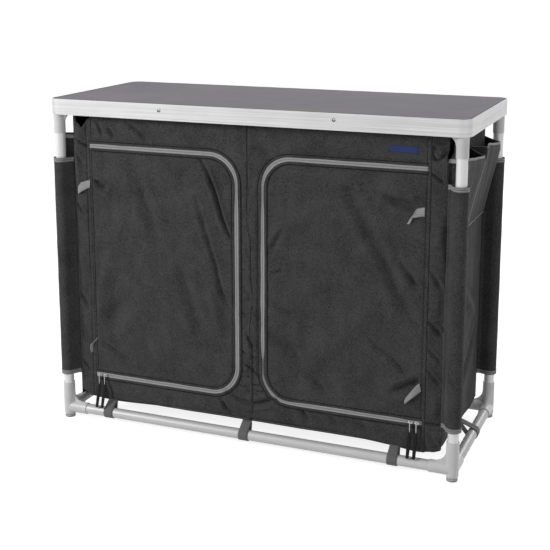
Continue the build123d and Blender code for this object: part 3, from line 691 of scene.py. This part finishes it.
def cover(side, x, z):
    """How much further than usual the cloth's folded edge covers the tape at a place."""
    ax = abs(x)
    out = 1.2 + 2.6 * lumps(x * 0.014, z * 0.014, side * 9.0)
    if side > 0:
        out += 1.9 * smooth(440, 600, z) * smooth(692, 640, z) * smooth(60, 40, ax)
        out += 2.3 * smooth(260, 190, z) * smooth(150, 90, ax)
    else:
        out += 1.5 * smooth(520, 650, z) * smooth(60, 40, ax)
    return out


def zip_strip(side, profile, way=0):
    """A strip along the zip from (offset, lift) pairs. way is 1 outside the tape and -1 inside it,
    where the strip's near edge creeps over the tape, and 0 where it keeps to the path."""
    rows = []
    paths = [shared_path(side, offset) for offset, _ in profile]
    for k, (bx, bz) in enumerate(shared_path(side, 0.0)):
        creep = cover(side, bx, bz) if way else 0.0
        row = []
        for path, (offset, lift) in zip(paths, profile):
            x, z = path[k]
            share = creep * smooth(STITCH_AT, WELT, abs(offset)) / max(abs(offset), 0.1) * way
            row.append(on_face(x + (bx - x) * share * way, z + (bz - z) * share * way, lift))
        rows.append(row)
    run = lengths_of([row[0] for row in rows])
    return grid(rows, uv=lambda i, j: (run[i] * MM, profile[j][0] * MM))


# The strips on each side of a zip's teeth: the cloth's folded edge, the tape, the dark gap between them,
# which is painted shade under the folded edge, and the stitched groove, painted dark as its shade. Each has
# its material, slot, thickness, whether it creeps over the tape, and (offset, lift) pairs, as the teeth have.
ZIP_STRIPS = (
    ("welt", CLOTH, CHARCOAL, 0.7, 1, (
        (6.3, -0.9), (6.4, 0.7), (6.9, 1.6), (8.0, 1.9), (9.6, 1.6), (10.8, 1.2), (11.3, 0.2), (11.7, -0.3),
        (12.1, 0.2), (12.6, 0.85), (13.8, 0.5), (15.2, 0.05), (17.0, -0.6))),
    ("tape", TAPE, "grey_tape", 0.5, 0, (
        (1.5, -0.5), (1.6, 0.4), (2.2, 0.95), (3.6, 1.05), (4.8, 0.8), (5.2, -0.2))),
    # Painted shade: a near-black strip where the folded edge shades the tape's side
    ("gap", DARK_INSIDE_AND_SHADE, CHARCOAL, 0.4, 1, ((4.6, -0.15), (5.6, -0.15), (6.8, -0.15))),
    # Painted shade: a near-black strip in the stitched groove, under the real stitches
    ("groove", DARK_INSIDE_AND_SHADE, CHARCOAL, 0.2, 1, ((10.5, 1.75), (11.2, 1.0), (11.7, 0.6), (12.2, 1.0), (12.9, 1.5))),
)
TEETH = ((-1.9, -0.5), (-1.4, 0.3), (0.0, 0.7), (1.4, 0.3), (1.9, -0.5))


def zip_half(name, s, way, body, tag):
    """What lies on one side of a zip's teeth: outside them where way is 1, inside where it is -1."""
    for kind, mat, slot, thick, creeps, shape in ZIP_STRIPS:
        bm = zip_strip(s, [(offset * way, lift) for offset, lift in shape], way * creeps)
        nodes = [f"zip_{name}"] if kind == "tape" and way > 0 else ()
        piece(f"zip_{kind}_{tag}_{name}", bm, mat, thick, nodes, body)
    line = [on_face(*p, 0.6) for p in shared_path(s, STITCH_AT * way)]
    stitches(f"zip_stitch_{tag}_{name}", [line], FACE, body, length=3.4, width=1.1, rise=0.4)


def doors():
    for name, s in SIDES.items():
        door = f"door_{name}"
        cut = [(x - s * 0.05, z) if abs(x) > HINGE - 0.01 else (x, z) for x, z in outline_path(-WELT_END, s)]
        bm = panel([cut], FACE_STEP, on_face, FACE, SEAM_CUTS)
        obj = piece(f"door_cloth_{name}", bm, CLOTH_DARK_INSIDE, CLOTH_THICK, [door], door)
        zip_half(name, s, 1, CABINET, "frame")
        zip_half(name, s, -1, door, "door")
        piece(f"zip_coil_{name}", zip_strip(s, TEETH), COIL, 0.4)
        outer = [at for at in SEAMS if at * s > HINGE]
        inner = [at for at in SEAMS if 0 < at * s < HINGE]
        ranges = ((outer, 62, 792, CABINET), (inner, 62, 100, CABINET), (inner, 724, 792, CABINET),
                  (inner, 136, 688, door))
        for k, (at, low, high, body) in enumerate(ranges):
            seam = [[on_face(x + 0.5 * lumps(z * 0.015, x), z, 0.2) for z in range(low, high, 4)] for x in at]
            stitches(f"hinge_stitch_{k}_{name}", seam, FACE, body, length=3.0, width=0.9)
        for end, sy in ENDS.items():
            pull = 1.0 if s > 0 > sy else 0.0
            y = sy * (WALL_Y - 1.8)
            edge = [(s * (WALL_X - 1.6 - pull * corner_pull(z)), y, z) for z in range(92, 726, 6)]
            tube(f"corner_piping_{end}_{name}", edge, 1.3, CORD)


front()
doors()


# Other walls of the cabinet
WALL_STEP, FLAT_STEP, DIVIDER_STEP = 9.0, 16.0, 12.0
BACK_FOLDS = (
    (16, 3.4, ((-380, 640), (-150, 420))), (14, 3.2, ((300, 600), (120, 380))),
    (18, -3.0, ((-60, 300), (200, 120))), (10, -2.8, ((-420, 300), (-300, 120))),
    (6, -2.6, ((380, 740), (455, 650))), (6, -2.6, ((-380, 745), (-450, 660))),
)
SIDE_FOLDS = (
    (14, 3.0, ((-150, 470), (120, 300))), (11, -3.0, ((140, 250), (-40, 120))),
    (7, -2.6, ((-170, 200), (-90, 90))),
)


def wall_relief(u, v, seed):
    out = 4.2 * lumps(u * 0.006, v * 0.004, seed) + 2.8 * lumps(u * 0.017, v * 0.012, seed + 4)
    out += 0.9 * lumps(u * 0.045, v * 0.03, seed + 9)
    return out


def lifted(lines, place, outward):
    """Lines over a wall, set half a millimetre off it."""
    return [[Vector(place(*p)) + Vector(outward) * 0.5 for p in line] for line in lines]


def back():
    def place(x, z):
        calm = smooth(WALL_X, WALL_X - 20, abs(x)) * smooth(LOW, LOW + 20, z) * smooth(HIGH, HIGH - 25, z)
        out = wall_relief(x, z, 21.0) * calm
        for width, height, line in BACK_FOLDS:
            out += crease(x, z, width, DEEPER * height, *run_of(line)) * calm
        out = max(-7.0, out) - 0.9 * smooth(5, 0, abs(x))
        return (x, WALL_Y - 0.6 + out, dropped(z, 0.5 * along_line(HEM, -x)))

    outward = (0, 1, 0)
    bm = panel([wall_outline()], WALL_STEP, place, outward)
    obj = piece("back_cloth", bm, CLOTH_DARK_INSIDE, CLOTH_THICK, ["cabinet_back"])
    lines = [[(x, z) for z in range(60, 790, 6)] for x in (-4.5, 4.5)]
    lines += [[(x, z) for x in range(-452, 453, 6)] for z in (66, 72)]
    lines += [[(x, z) for z in range(75, 790, 6)] for x in (-460, 460)]
    stitches("back_stitches", lifted(lines, place, outward), outward)


def side_wall(name, s):
    def place(y, z):
        calm = smooth(WALL_Y, WALL_Y - 18, abs(y)) * smooth(LOW + 10, LOW + 34, z) * smooth(HIGH, HIGH - 25, z)
        out = wall_relief(y, z, 40.0 + s) * calm * (0.25 + 0.75 * smooth(545, 520, z))
        for width, height, line in SIDE_FOLDS:
            out += crease(y, z, width, DEEPER * height, *run_of(line)) * calm
        out -= 0.9 * smooth(5, 0, abs(y - 12)) * smooth(525, 500, z)
        tuck = 5.0 * smooth(LOW + 9, LOW, z) ** 1.5 * smooth(WALL_Y, WALL_Y - 12, abs(y))
        drawn = corner_pull(z) * smooth(-140, -WALL_Y, y) if s > 0 else 0.0
        return (s * (WALL_X - 0.6 + out - tuck - drawn), y, dropped(z, along_line(SIDE_HEM, y)))

    outward = (s, 0, 0)
    inner = WALL_Y - 0.7
    notch = [(-133, HIGH), (-137, 760), (-144, 738), (-163, 728), (-inner, 723)]
    loop = [(-inner, LOW), (inner, LOW), (inner, HIGH)] + (notch if s > 0 else [(-inner, HIGH)])
    bm = panel([loop], WALL_STEP, place, outward)
    obj = piece(f"side_cloth_{name}", bm, CLOTH_DARK_INSIDE, CLOTH_THICK, [f"cabinet_side_{name}"])
    lines = [[(y, z) for z in range(64, 530, 6)] for y in (7.5, 16.5)]
    lines += [[(y, z) for y in range(-180, 181, 6)] for z in (64, 70)]
    stitches(f"side_stitches_{name}", lifted(lines, place, outward), outward)


def floor_top_and_divider():
    inner = WALL_Y - 2.2

    def floor(x, y):
        corner = smooth(440, 464, abs(x)) * smooth(155, 184, abs(y)) * 17
        return (x, y, LOW + 2.6 + corner - 0.8 * (1 + lumps(x * 0.02, y * 0.02)))

    def top(x, y):
        return (x, y, HIGH - 1.2 - 1.5 * (1 + lumps(x * 0.012, y * 0.012, 5)) * smooth(0, 30, inner - abs(y)))

    def middle(y, z):
        calm = smooth(0, 25, inner - abs(y))
        return (calm * (2.0 * lumps(y * 0.008, z * 0.008, 2)), y, z)

    def flat(half_u, low, high, step, place, outward):
        return panel([[(-half_u, low), (half_u, low), (half_u, high), (-half_u, high)]], step, place, outward)

    bm = flat(464, -inner, inner, FLAT_STEP, floor, (0, 0, 1))
    obj = piece("floor_cloth", bm, CLOTH, CLOTH_THICK, ["cabinet_floor"])
    bm = flat(465, -inner, inner, FLAT_STEP, top, (0, 0, 1))
    obj = piece("top_cloth", bm, CLOTH, 1.0, ["cabinet_top"])
    bm = flat(WALL_Y - 9.5, LOW + 3, HIGH - 5, DIVIDER_STEP, middle, (1, 0, 0))
    obj = piece("divider_cloth", bm, DARK_INSIDE_AND_SHADE, CLOTH_THICK, ["cabinet_divider"])


def shelves():
    x0, x1, y0, y1 = 1.4, 461.0, -170.0, 177.0
    section = split([(y0 + 1.2, 0.2), (y0, 1.2), (y0, 3.6), (y0 + 1.2, 4.7), (y1, 4.7), (y1, 0.2)], 30.0)
    for name, s in SIDES.items():
        for level, z0 in (("lower", 300.0), ("upper", 540.0)):
            rows = []
            for x in [x0 + (x1 - x0) * i / 24 for i in range(25)]:
                row = []
                for y, up in section:
                    sag = 0.5 * (1 + lumps(x * 0.02, y * 0.02, z0)) * (0.3 if up > 2.5 else 0.1)
                    row.append((s * x, y, z0 + up - sag))
                rows.append(row)
            node = f"shelf_{name}_{level}"
            piece(f"{node}_cloth", capped(rows), CLOTH, nodes=[node])
            line = [(s * x, y0 + 7, z0 + 5.0) for x in range(6, 458, 6)]
            stitches(f"shelf_stitches_{name}_{level}", [line], (0, 0, 1), mat=THREAD)


back()
for wall, way in SIDES.items():
    side_wall(wall, way)
floor_top_and_divider()
shelves()

# Wings round the legs: a sleeve round each leg, and a double tail that joins the cabinet's corner
WING_LOW, WING_HIGH = 118, 674
SLEEVE, TAIL_AT = 16.7, 26.0
BINDING_SHAPE = ((-0.8, 0.1), (0, 1.0), (2.2, 1.2), (4.2, 0.5), (6.2, 0.5), (8.0, 1.2), (9.6, 1.0), (10.2, 0.3))


def wing_profile(sx, sy, z, grow=0.0):
    to = Vector((-30.0, -12.0)).normalized()
    turn = Vector((-to.y, to.x))
    r = SLEEVE + grow
    open_at = acos(SLEEVE / TAIL_AT)
    line = [(32.6, 0.7 + grow), (29, 0.7 + grow), (TAIL_AT, 0.8 + grow)]
    for i in range(1, 4):
        t = i / 4
        u = TAIL_AT + (r * cos(open_at) - TAIL_AT) * t
        line.append((u, 0.8 + grow + (r * sin(open_at) - 0.8 - grow) * t))
    for i in range(29):
        a = open_at + (2 * pi - 2 * open_at) * i / 28
        wave = 0.55 * lumps(a * 1.6, z * 0.02, sx * 3 + sy) + 0.3 * lumps(a * 3.1, z * 0.05, sx + sy * 5)
        line.append(((r + wave) * cos(a), (r + wave) * sin(a)))
    line += [(u, -v) for u, v in reversed(line[:6])]
    return [(sx * (LEG[0] + (to * u + turn * v).x), sy * (LEG[1] + (to * u + turn * v).y), z) for u, v in line]


def wings():
    for end, sy in ENDS.items():
        for name, s in SIDES.items():
            levels = [WING_LOW + (WING_HIGH - WING_LOW) * i / 46 for i in range(47)]
            bm = grid([wing_profile(s, sy, z) for z in levels])
            obj = piece(f"wing_{end}_{name}", bm, CLOTH, CLOTH_THICK, [f"leg_wing_{end}_{name}"])
            for tag, low in (("low", WING_LOW), ("top", WING_HIGH - 10)):
                rows = [wing_profile(s, sy, low + h, g) for h, g in BINDING_SHAPE]
                run = lengths_of(rows[0])
                bm = grid(rows, uv=lambda i, j: (run[j] * MM, BINDING_SHAPE[i][0] * MM))
                piece(f"wing_binding_{tag}_{end}_{name}", bm, EDGING_PAINTED_RIMS, 0.7)


wings()

# Pouches. A pouch leans out from its foot to its rim, which sags between the corners. RIMS gives
# the sag of the front and rear pouches, from a pouch's front edge at 0 to its rear edge at 1.
POUCH_LOW, POUCH_HIGH = 538, 728
RIMS = {
    -1: curve_through([(0, -2), (0.2, 2), (0.45, 8), (0.8, 14), (1, 17)]),
    1: curve_through([(0, -3), (0.2, -4), (0.5, 3), (0.8, 9), (1, 11)]),
}
RIM_SHAPE = [(723.2, -0.1), (723.5, 0.9), (725.5, 1.1), (727.8, 1.0), (728.8, 0.2), (728.4, -1.0),
             (724.0, -1.2)]


def pouch_out(z):
    """How far out the pouch's outer face stands at a height."""
    return 470.2 + 37.4 * min(1.0, max(0.0, (z - POUCH_LOW) / 170))


def rim_drop(sy, part, z):
    """How far the pouch's cloth hangs below its height in the flat."""
    return along_line(RIMS[sy], part) * smooth(590, POUCH_HIGH, z)


def pouch_point(s, sy, part, y, z, grow=0.0):
    """A point of a pouch's outer face; part runs from its front edge at 0 to its rear edge at 1."""
    across = sin(pi * part)
    high = smooth(600, POUCH_HIGH, z)
    out = pouch_out(z) + grow
    out += across * (2.4 * lumps(part * 4.0, z * 0.006, s * 2 + sy) - 3.0 * high)
    out += across * 2.6 * lumps(part * 9.0, z * 0.007, s * 3 + sy * 5)
    if sy > 0:
        out += 5.0 * smooth(0.14, 0.0, part) * smooth(590, POUCH_HIGH, z)
    return (s * max(out, 469.4 + grow), y, z - rim_drop(sy, part, z))


def pouch_section(s, sy, y0, y1, z, grow=0.0):
    """A pouch's level section: out from the wall, round its front corner, along, and back to the wall."""
    inset = 468.7
    ends = []
    for part, y, way in ((0, y0, 1), (1, y1, -1)):
        x = abs(pouch_point(s, sy, part, y, z, grow)[0])
        r = min(5.0, x - 468.9)
        drop = rim_drop(sy, part, z)
        edge = []
        for i in range(5):
            bend = 2.2 * sin(pi * i / 4) * smooth(600, 720, z)
            edge.append((s * (inset + (x - r - inset) * i / 4), y + way * bend, z - drop * i / 4))
        for a in (0.4, 0.8, 1.2):
            edge.append((s * (x - r + r * sin(a)), y + way * (r - r * cos(a)), z - drop))
        ends.append(edge)
    n = 26
    ys = [y0 + r + (y1 - y0 - 2 * r) * i / n for i in range(n + 1)]
    return ends[0] + [pouch_point(s, sy, i / n, y, z, grow) for i, y in enumerate(ys)] + ends[1][::-1]


def pouches():
    for name, s in SIDES.items():
        for end, sy in ENDS.items():
            y0, y1 = (2.6, 178.0) if sy > 0 else (-178.0, -2.6)
            levels = [POUCH_LOW + (POUCH_HIGH - POUCH_LOW) * i / 30 for i in range(31)]
            bm = grid([pouch_section(s, sy, y0, y1, z) for z in levels])
            obj = piece(f"pouch_{end}_{name}", bm, CLOTH_DARK_INSIDE, CLOTH_THICK, [f"side_pouches_{name}"])
            rows = [pouch_section(s, sy, y0, y1, z, g) for z, g in RIM_SHAPE]
            run = lengths_of(rows[0])
            bm = grid(rows, uv=lambda i, j: (run[j] * MM, i * 2 * MM))
            piece(f"pouch_binding_{end}_{name}", bm, PIPING, 0.6)
            for tag, part, y, way in (("front", 0, y0, 1), ("rear", 1, y1, -1)):
                line = []
                for z in range(540, 724, 6):
                    x, _, low = pouch_point(s, sy, part, y, z, -0.8)
                    line.append((x, y + way * 0.8, low))
                tube(f"pouch_piping_{tag}_{end}_{name}", line, 1.5, PIPING)
            line = [pouch_point(s, sy, i / 40, y0 + 2 + (y1 - y0 - 4) * i / 40, 539.6, 0.5) for i in range(41)]
            tube(f"pouch_piping_foot_{end}_{name}", line, 1.2, PIPING)
        # A strip of the front gusset's rim binding, in the lighter tape colour as painted light
        bar = [(s * x, -179.2, 724) for x in (464.2, 474, 486, 498, 503)]
        ribbon(f"pouch_bar_painted_light_{name}", bar, (0, 0, 1), 9, 0.8, TAPE)


pouches()


# Webbing loops, ties, label and pulls. LOOP_RING and LOOP_ARM go round an upper rail as (out, up)
# from its axis.
LOOP_RING = [(-11.5, 6), (-11.5, -10), (-9.5, -11.6), (9.5, -11.6), (11.6, -9.5), (11.6, 9.5), (9.5, 11.6),
             (-9.5, 11.6), (-11.5, 9), (-11.9, 4)]
LOOP_ARM = [(-29.4, 5), (-20, 7), (-11.6, 10), (-9, 11.6), (9.5, 11.6), (11.6, 9.5), (11.6, -9.5), (9.5, -11.6),
            (-9.5, -11.6), (-20, -7), (-29.4, -4)]
LOWER_RAIL, UPPER_RAIL = 27.0, 794.5


def strap_path(inset):
    """Round a lower rail and up to the cabinet's floor: (out, up) from the rail's axis."""
    hem, r = 30.0, 13.7
    kx, kz = -inset - 3.0, hem - 3.0
    open_at = acos(r / hypot(kx, kz))
    start = atan2(kz, kx) - open_at
    arc = [start - (2 * pi - 2 * open_at) * i / 8 for i in range(9)]
    line = [(kx - 9, hem - 0.8), (kx, hem - 1.2)]
    line += [(r * cos(a), r * sin(a)) for a in arc]
    return line + [(kx - 1, kz - 1.2)]


def loop(at, level, path, z0, along, sy):
    """A loop on a long rail where sy is -1 or 1, or on the side rail that along names where it is 0."""
    if sy:
        x = along * 370 - (10 if level == "lower" else 0)
        pts = [(x, sy * (LEG[1] + out), z0 + up) for out, up in path]
    else:
        pts = [(along * (LEG[0] + out), 20, z0 + up) for out, up in path]
    across = (1, 0, 0) if sy else (0, 1, 0)
    ribbon(f"{level}_loop_{at}", pts, across, 24, 1.3, WEBBING, [f"{level}_loops"])


def loops():
    spots = [(i, sy) for sy in (-1, 1) for i in (-1, 0, 1)] + [(-1, 0), (1, 0)]
    for at, (along, sy) in enumerate(spots):
        loop(at, "lower", strap_path(14.0 if sy else 35.0), LOWER_RAIL, along, sy)
        loop(at, "upper", LOOP_RING if sy else LOOP_ARM, UPPER_RAIL, along, sy)


def ties():
    """Each tie-back's line as (x, lift, z), the vector across it, and its width."""
    plan = (
        ("upper", "left",
         [(-424.5, 0.6, 610.5), (-431, 1.4, 608.5), (-441, 2.2, 604), (-451, 2.4, 599), (-457, 1.2, 596.5)],
         lambda t: (0, 0.1, 1),
         lambda t: 20 + 5 * smooth(0.1, 0.9, t)),
        ("upper", "right",
         [(417, 0.6, 609), (408, 1.6, 608), (398, 2.4, 605), (391, 2.6, 600), (387, 2.4, 592),
          (383.5, 1.6, 585), (380, 0.8, 579)],
         lambda t: (smooth(0.35, 0.75, t), 0.5 * sin(5 * t), 1.15 - smooth(0.35, 0.8, t)),
         lambda t: 20 - 13 * smooth(0.3, 0.7, t)),
        ("lower", "left",
         [(-419, 0.6, 212), (-425, 1.6, 207), (-431, 2.2, 198), (-434, 2.0, 187), (-434.5, 1.0, 176)],
         lambda t: (0.8, 0.9 * smooth(0, 0.4, t), 1.1 - t),
         lambda t: 15 - 9 * smooth(0.3, 1, t)),
        ("lower", "right",
         [(417, 0.6, 205), (410, 1.6, 199), (400, 2.4, 188), (389, 2.0, 175), (382, 1.0, 167)],
         lambda t: (-0.25, 0.2 * t, 1),
         lambda t: 19 - 8 * smooth(0.1, 0.9, t)),
    )
    for tag, name, line, across, wide in plan:
        body = "door_right" if name == "right" else CABINET
        pts = [(x, on_face(x, z, lift + 0.8)[1], z) for x, lift, z in line]
        nodes = [f"tie_backs_{name}"]
        ribbon(f"tie_{tag}_{name}", pts, across, wide, 1.1, PALE_WEB, nodes, body)


def label():
    half_w, half_h, round_r, step = 33.5, 8.0, 1.5, 3.0
    stitch_w, stitch_h = 31.8, 6.4

    def place(u, v):
        return on_face(366 + u, 745 + v, 0.9)

    bm = panel([rounded_box(half_w, half_h, round_r, 30)], step, place, FACE)
    piece("label_blank", bm, NAVY, 0.6, ["label_patch"])
    corners = [(-stitch_w, -stitch_h), (stitch_w, -stitch_h), (stitch_w, stitch_h), (-stitch_w, stitch_h)]
    edge = split(corners, step)
    line = [place(u, v) for u, v in edge + edge[:1]]
    stitches("label_stitches", [line], FACE, length=1.6, pitch=2.4, width=0.4, rise=0.5)


PULL_AT = {"outer": 411.5, "inner": 396.5}
BAIL_Y, BAIL_Z, TAB, LEAN = -192.8, 119.0, 20, radians(17)
TAIL_LEVELS = (1.6, 1.2, 0, -2, -5, -9, *range(-14, -50, -5), *range(-51, -62, -2), -61.8)


def squared(value):
    """A cosine or sine pushed towards a square's side."""
    return copysign(abs(value) ** 0.7, value)


def pull_tab(px):
    """The metal tab: a slim plate with a hole for the bail and a slot for the tail."""
    rim = []
    for a in turns(24):
        v = 2.8 * sin(a)
        rim.append((2.8 * cos(a), v if sin(a) > 0 else v - TAB))
    hole = [(1.35 * cos(a), 1.35 * sin(a)) for a in turns(16)]
    slot = [(1.5, -18.6), (-1.5, -18.6), (-1.5, -21.4), (1.5, -21.4)]
    return panel([rim, hole, slot], 3.0, lambda u, v: (px, BAIL_Y + u, BAIL_Z + v), (1, 0, 0))


def pull_tail(px):
    """The soft tail, which leans out over the rail, with a ribbed grip."""
    rows = []
    for d in TAIL_LEVELS:
        wide = 2.6 + 1.9 * smooth(-1, -14, d) - 0.6 * smooth(-30, -60, d)
        deep = 1.7
        if d > 1.4 or d < -61.5:
            wide, deep = wide * 0.6, deep * 0.5
        if -59 < d < -42:
            deep += 0.35 * sin(d * 1.57)
        row = []
        for a in turns(12):
            cx, cy = squared(cos(a)) * wide, squared(sin(a)) * deep
            y = BAIL_Y + cy * cos(LEAN) + d * sin(LEAN)
            row.append((px + cx, y, BAIL_Z - TAB + d * cos(LEAN)))
        rows.append(row)
    return capped(rows)


def pulls():
    for name, s in SIDES.items():
        for tag, x in PULL_AT.items():
            body = f"zip_pull_{name}_{tag}"
            piece(f"pull_tab_{name}_{tag}", pull_tab(s * x), ZIP_METAL, 1.3, [body], body)
            piece(f"pull_tail_{name}_{tag}", pull_tail(s * x), BLACK_RUBBER_AND_SHADE, body=body)


loops()
ties()
label()
pulls()


# The worktop's joint, painted as a shadow line, the screws with painted shade in their cups, and the feet's
# rings of painted shade
def worktop_joint_shadow():
    """A near-black strip, painted as the shadow line between the worktop and the band's rim."""
    shape = ((-2.4, 820.0), (-2.0, 820.18), (0.2, 820.18), (0.6, 820.0))
    rows = [[(x, y, z) for x, y in rounded_box(513.9, 213.9, 23.4, 9, grow)] for grow, z in shape]
    piece("worktop_joint_shadow", grid(rows, closed=True), BLACK_RUBBER_AND_SHADE)


# Painted shade: near-black rings on each foot, where it meets the corner moulding and near its base
def foot_rings():
    shape = ((12.3, -0.5), (13.0, -0.4), (13.1, 0), (13.0, 0.4), (12.3, 0.5))
    spots = [(sx * LEG[0], sy * LEG[1], z) for sx in (-1, 1) for sy in (-1, 1) for z in (7.0, 2.6)]
    for k, (x, y, z) in enumerate(spots):
        rows = [[(x + r * cos(a), y + r * sin(a), z + h) for a in turns(24)] for r, h in shape]
        piece(f"foot_ring_{k}", grid(rows, closed=True), BLACK_RUBBER_AND_SHADE)


def screws():
    """The screws through the band: a domed head in a recess whose near-black cup is painted shade. The shapes
    are (radius, height) pairs.
    """
    head = [(4.6, 0.0), (4.6, 0.35), (4.2, 0.7), (3.6, 0.7)]
    cup = [(4.3, 0.8), (3.9, 0.35), (2.5, 0.3), (1.6, 0.35)]
    dome = [(2.0, 0.3), (1.8, 1.0), (1.2, 1.4), (0.5, 1.55), (0.05, 1.55)]
    parts = (("head", ZIP_METAL, head, 0), ("cup", BLACK_RUBBER_AND_SHADE, cup, 0), ("dome", ZIP_METAL, dome, 0.9))
    for k, (x, sy) in enumerate((x, sy) for sy in (-1, 1) for x in (-215, 215)):
        for tag, mat, shape, off in parts:
            rows = []
            for r, h in shape:
                y = sy * (217.5 + h)
                rows.append([(x + off + r * cos(a), y, 805 + off + r * sin(a)) for a in turns(20)])
            nodes = ["band_rivets"] if tag == "head" else ()
            piece(f"band_screw_{tag}_{k}", grid(rows, closed=True), mat, nodes=nodes)


worktop_joint_shadow()
foot_rings()
screws()

# Nodes of the CAD that show as they are
LEVELS = ("upper", "lower")
dress(LAMINATE, "worktop_panel")
dress(BAND, "worktop_edge_band")
dress(TUBE, "worktop_crossbars", *[f"leg_{e}_{s}" for e in ENDS for s in SIDES])
dress(RAIL, *[f"{level}_rail_{e}" for level in LEVELS for e in ENDS])
dress(SHADED_SIDE_RAIL, *[f"{level}_rail_{s}" for level in LEVELS for s in SIDES])
dress(PLASTIC, *[f"{level}_corners_{s}" for level in LEVELS for s in SIDES])
dress(FOOT, "feet")
dress(ZIP_METAL, *[f"zip_slider_{s}_{t}" for s in SIDES for t in PULL_AT])
dress(BOARD, *[f"floor_board_{s}" for s in SIDES])


# Floor, background and lights
AMBIENT, BACKGROUND, FLOOR_GLOW = 0.28, 1.0, 0.85
AIM = Vector((0, 0, 0.4))
LAMPS = (
    ("key", (-2.6, -2.5, 1.8), 0.8, 70), ("fill", (2.8, -1.4, 1.4), 1.2, 12), ("top", (0.2, 0.6, 3.0), 2.0, 10),
    ("rear", (1.5, 2.8, 1.9), 1.2, 30),
)


def seen(tree):
    """1 for the rays that show the background: from the camera, off gloss and through glass."""
    path = tree.nodes.new("ShaderNodeLightPath")
    total = path.outputs["Is Camera Ray"]
    for name in ("Is Glossy Ray", "Is Transmission Ray"):
        both = tree.nodes.new("ShaderNodeMath")
        both.operation = "MAXIMUM"
        tree.links.new(total, both.inputs[0])
        tree.links.new(path.outputs[name], both.inputs[1])
        total = both.outputs[0]
    return total


def studio_floor():
    bm = bmesh.new()
    bmesh.ops.create_grid(bm, x_segments=8, y_segments=8, size=60)
    mesh = bpy.data.meshes.new("studio_floor")
    bm.to_mesh(mesh)
    bm.free()
    floor = added("studio_floor", mesh)
    floor.location.z = -0.0005
    pale, white = (0.55, 0.55, 0.55, 1), (1, 1, 1, 1)
    p = Paint("studio_floor", 0.9, Base_Color=pale, Specular_IOR_Level=0.1, Emission_Color=white)
    p.feed(p.b.inputs["Emission Strength"], p.math("MULTIPLY", seen(p.t), FLOOR_GLOW))
    mesh.materials.append(p.m)


def studio():
    world = bpy.data.worlds.new("studio")
    bpy.context.scene.world = world
    world.use_nodes = True
    t = world.node_tree
    back = t.nodes["Background"]
    back.inputs["Color"].default_value = (1, 1, 1, 1)
    level = t.nodes.new("ShaderNodeMapRange")
    level.inputs["To Min"].default_value = AMBIENT
    level.inputs["To Max"].default_value = BACKGROUND
    t.links.new(seen(t), level.inputs[0])
    t.links.new(level.outputs[0], back.inputs["Strength"])

    for name, place, size, power in LAMPS:
        lamp = bpy.data.lights.new(name, "AREA")
        lamp.size = size
        lamp.energy = power
        obj = added(name, lamp)
        obj.location = place
        obj.rotation_euler = (AIM - Vector(place)).to_track_quat("-Z", "Y").to_euler()
    bpy.context.scene.view_settings.view_transform = "Standard"


studio_floor()
studio()
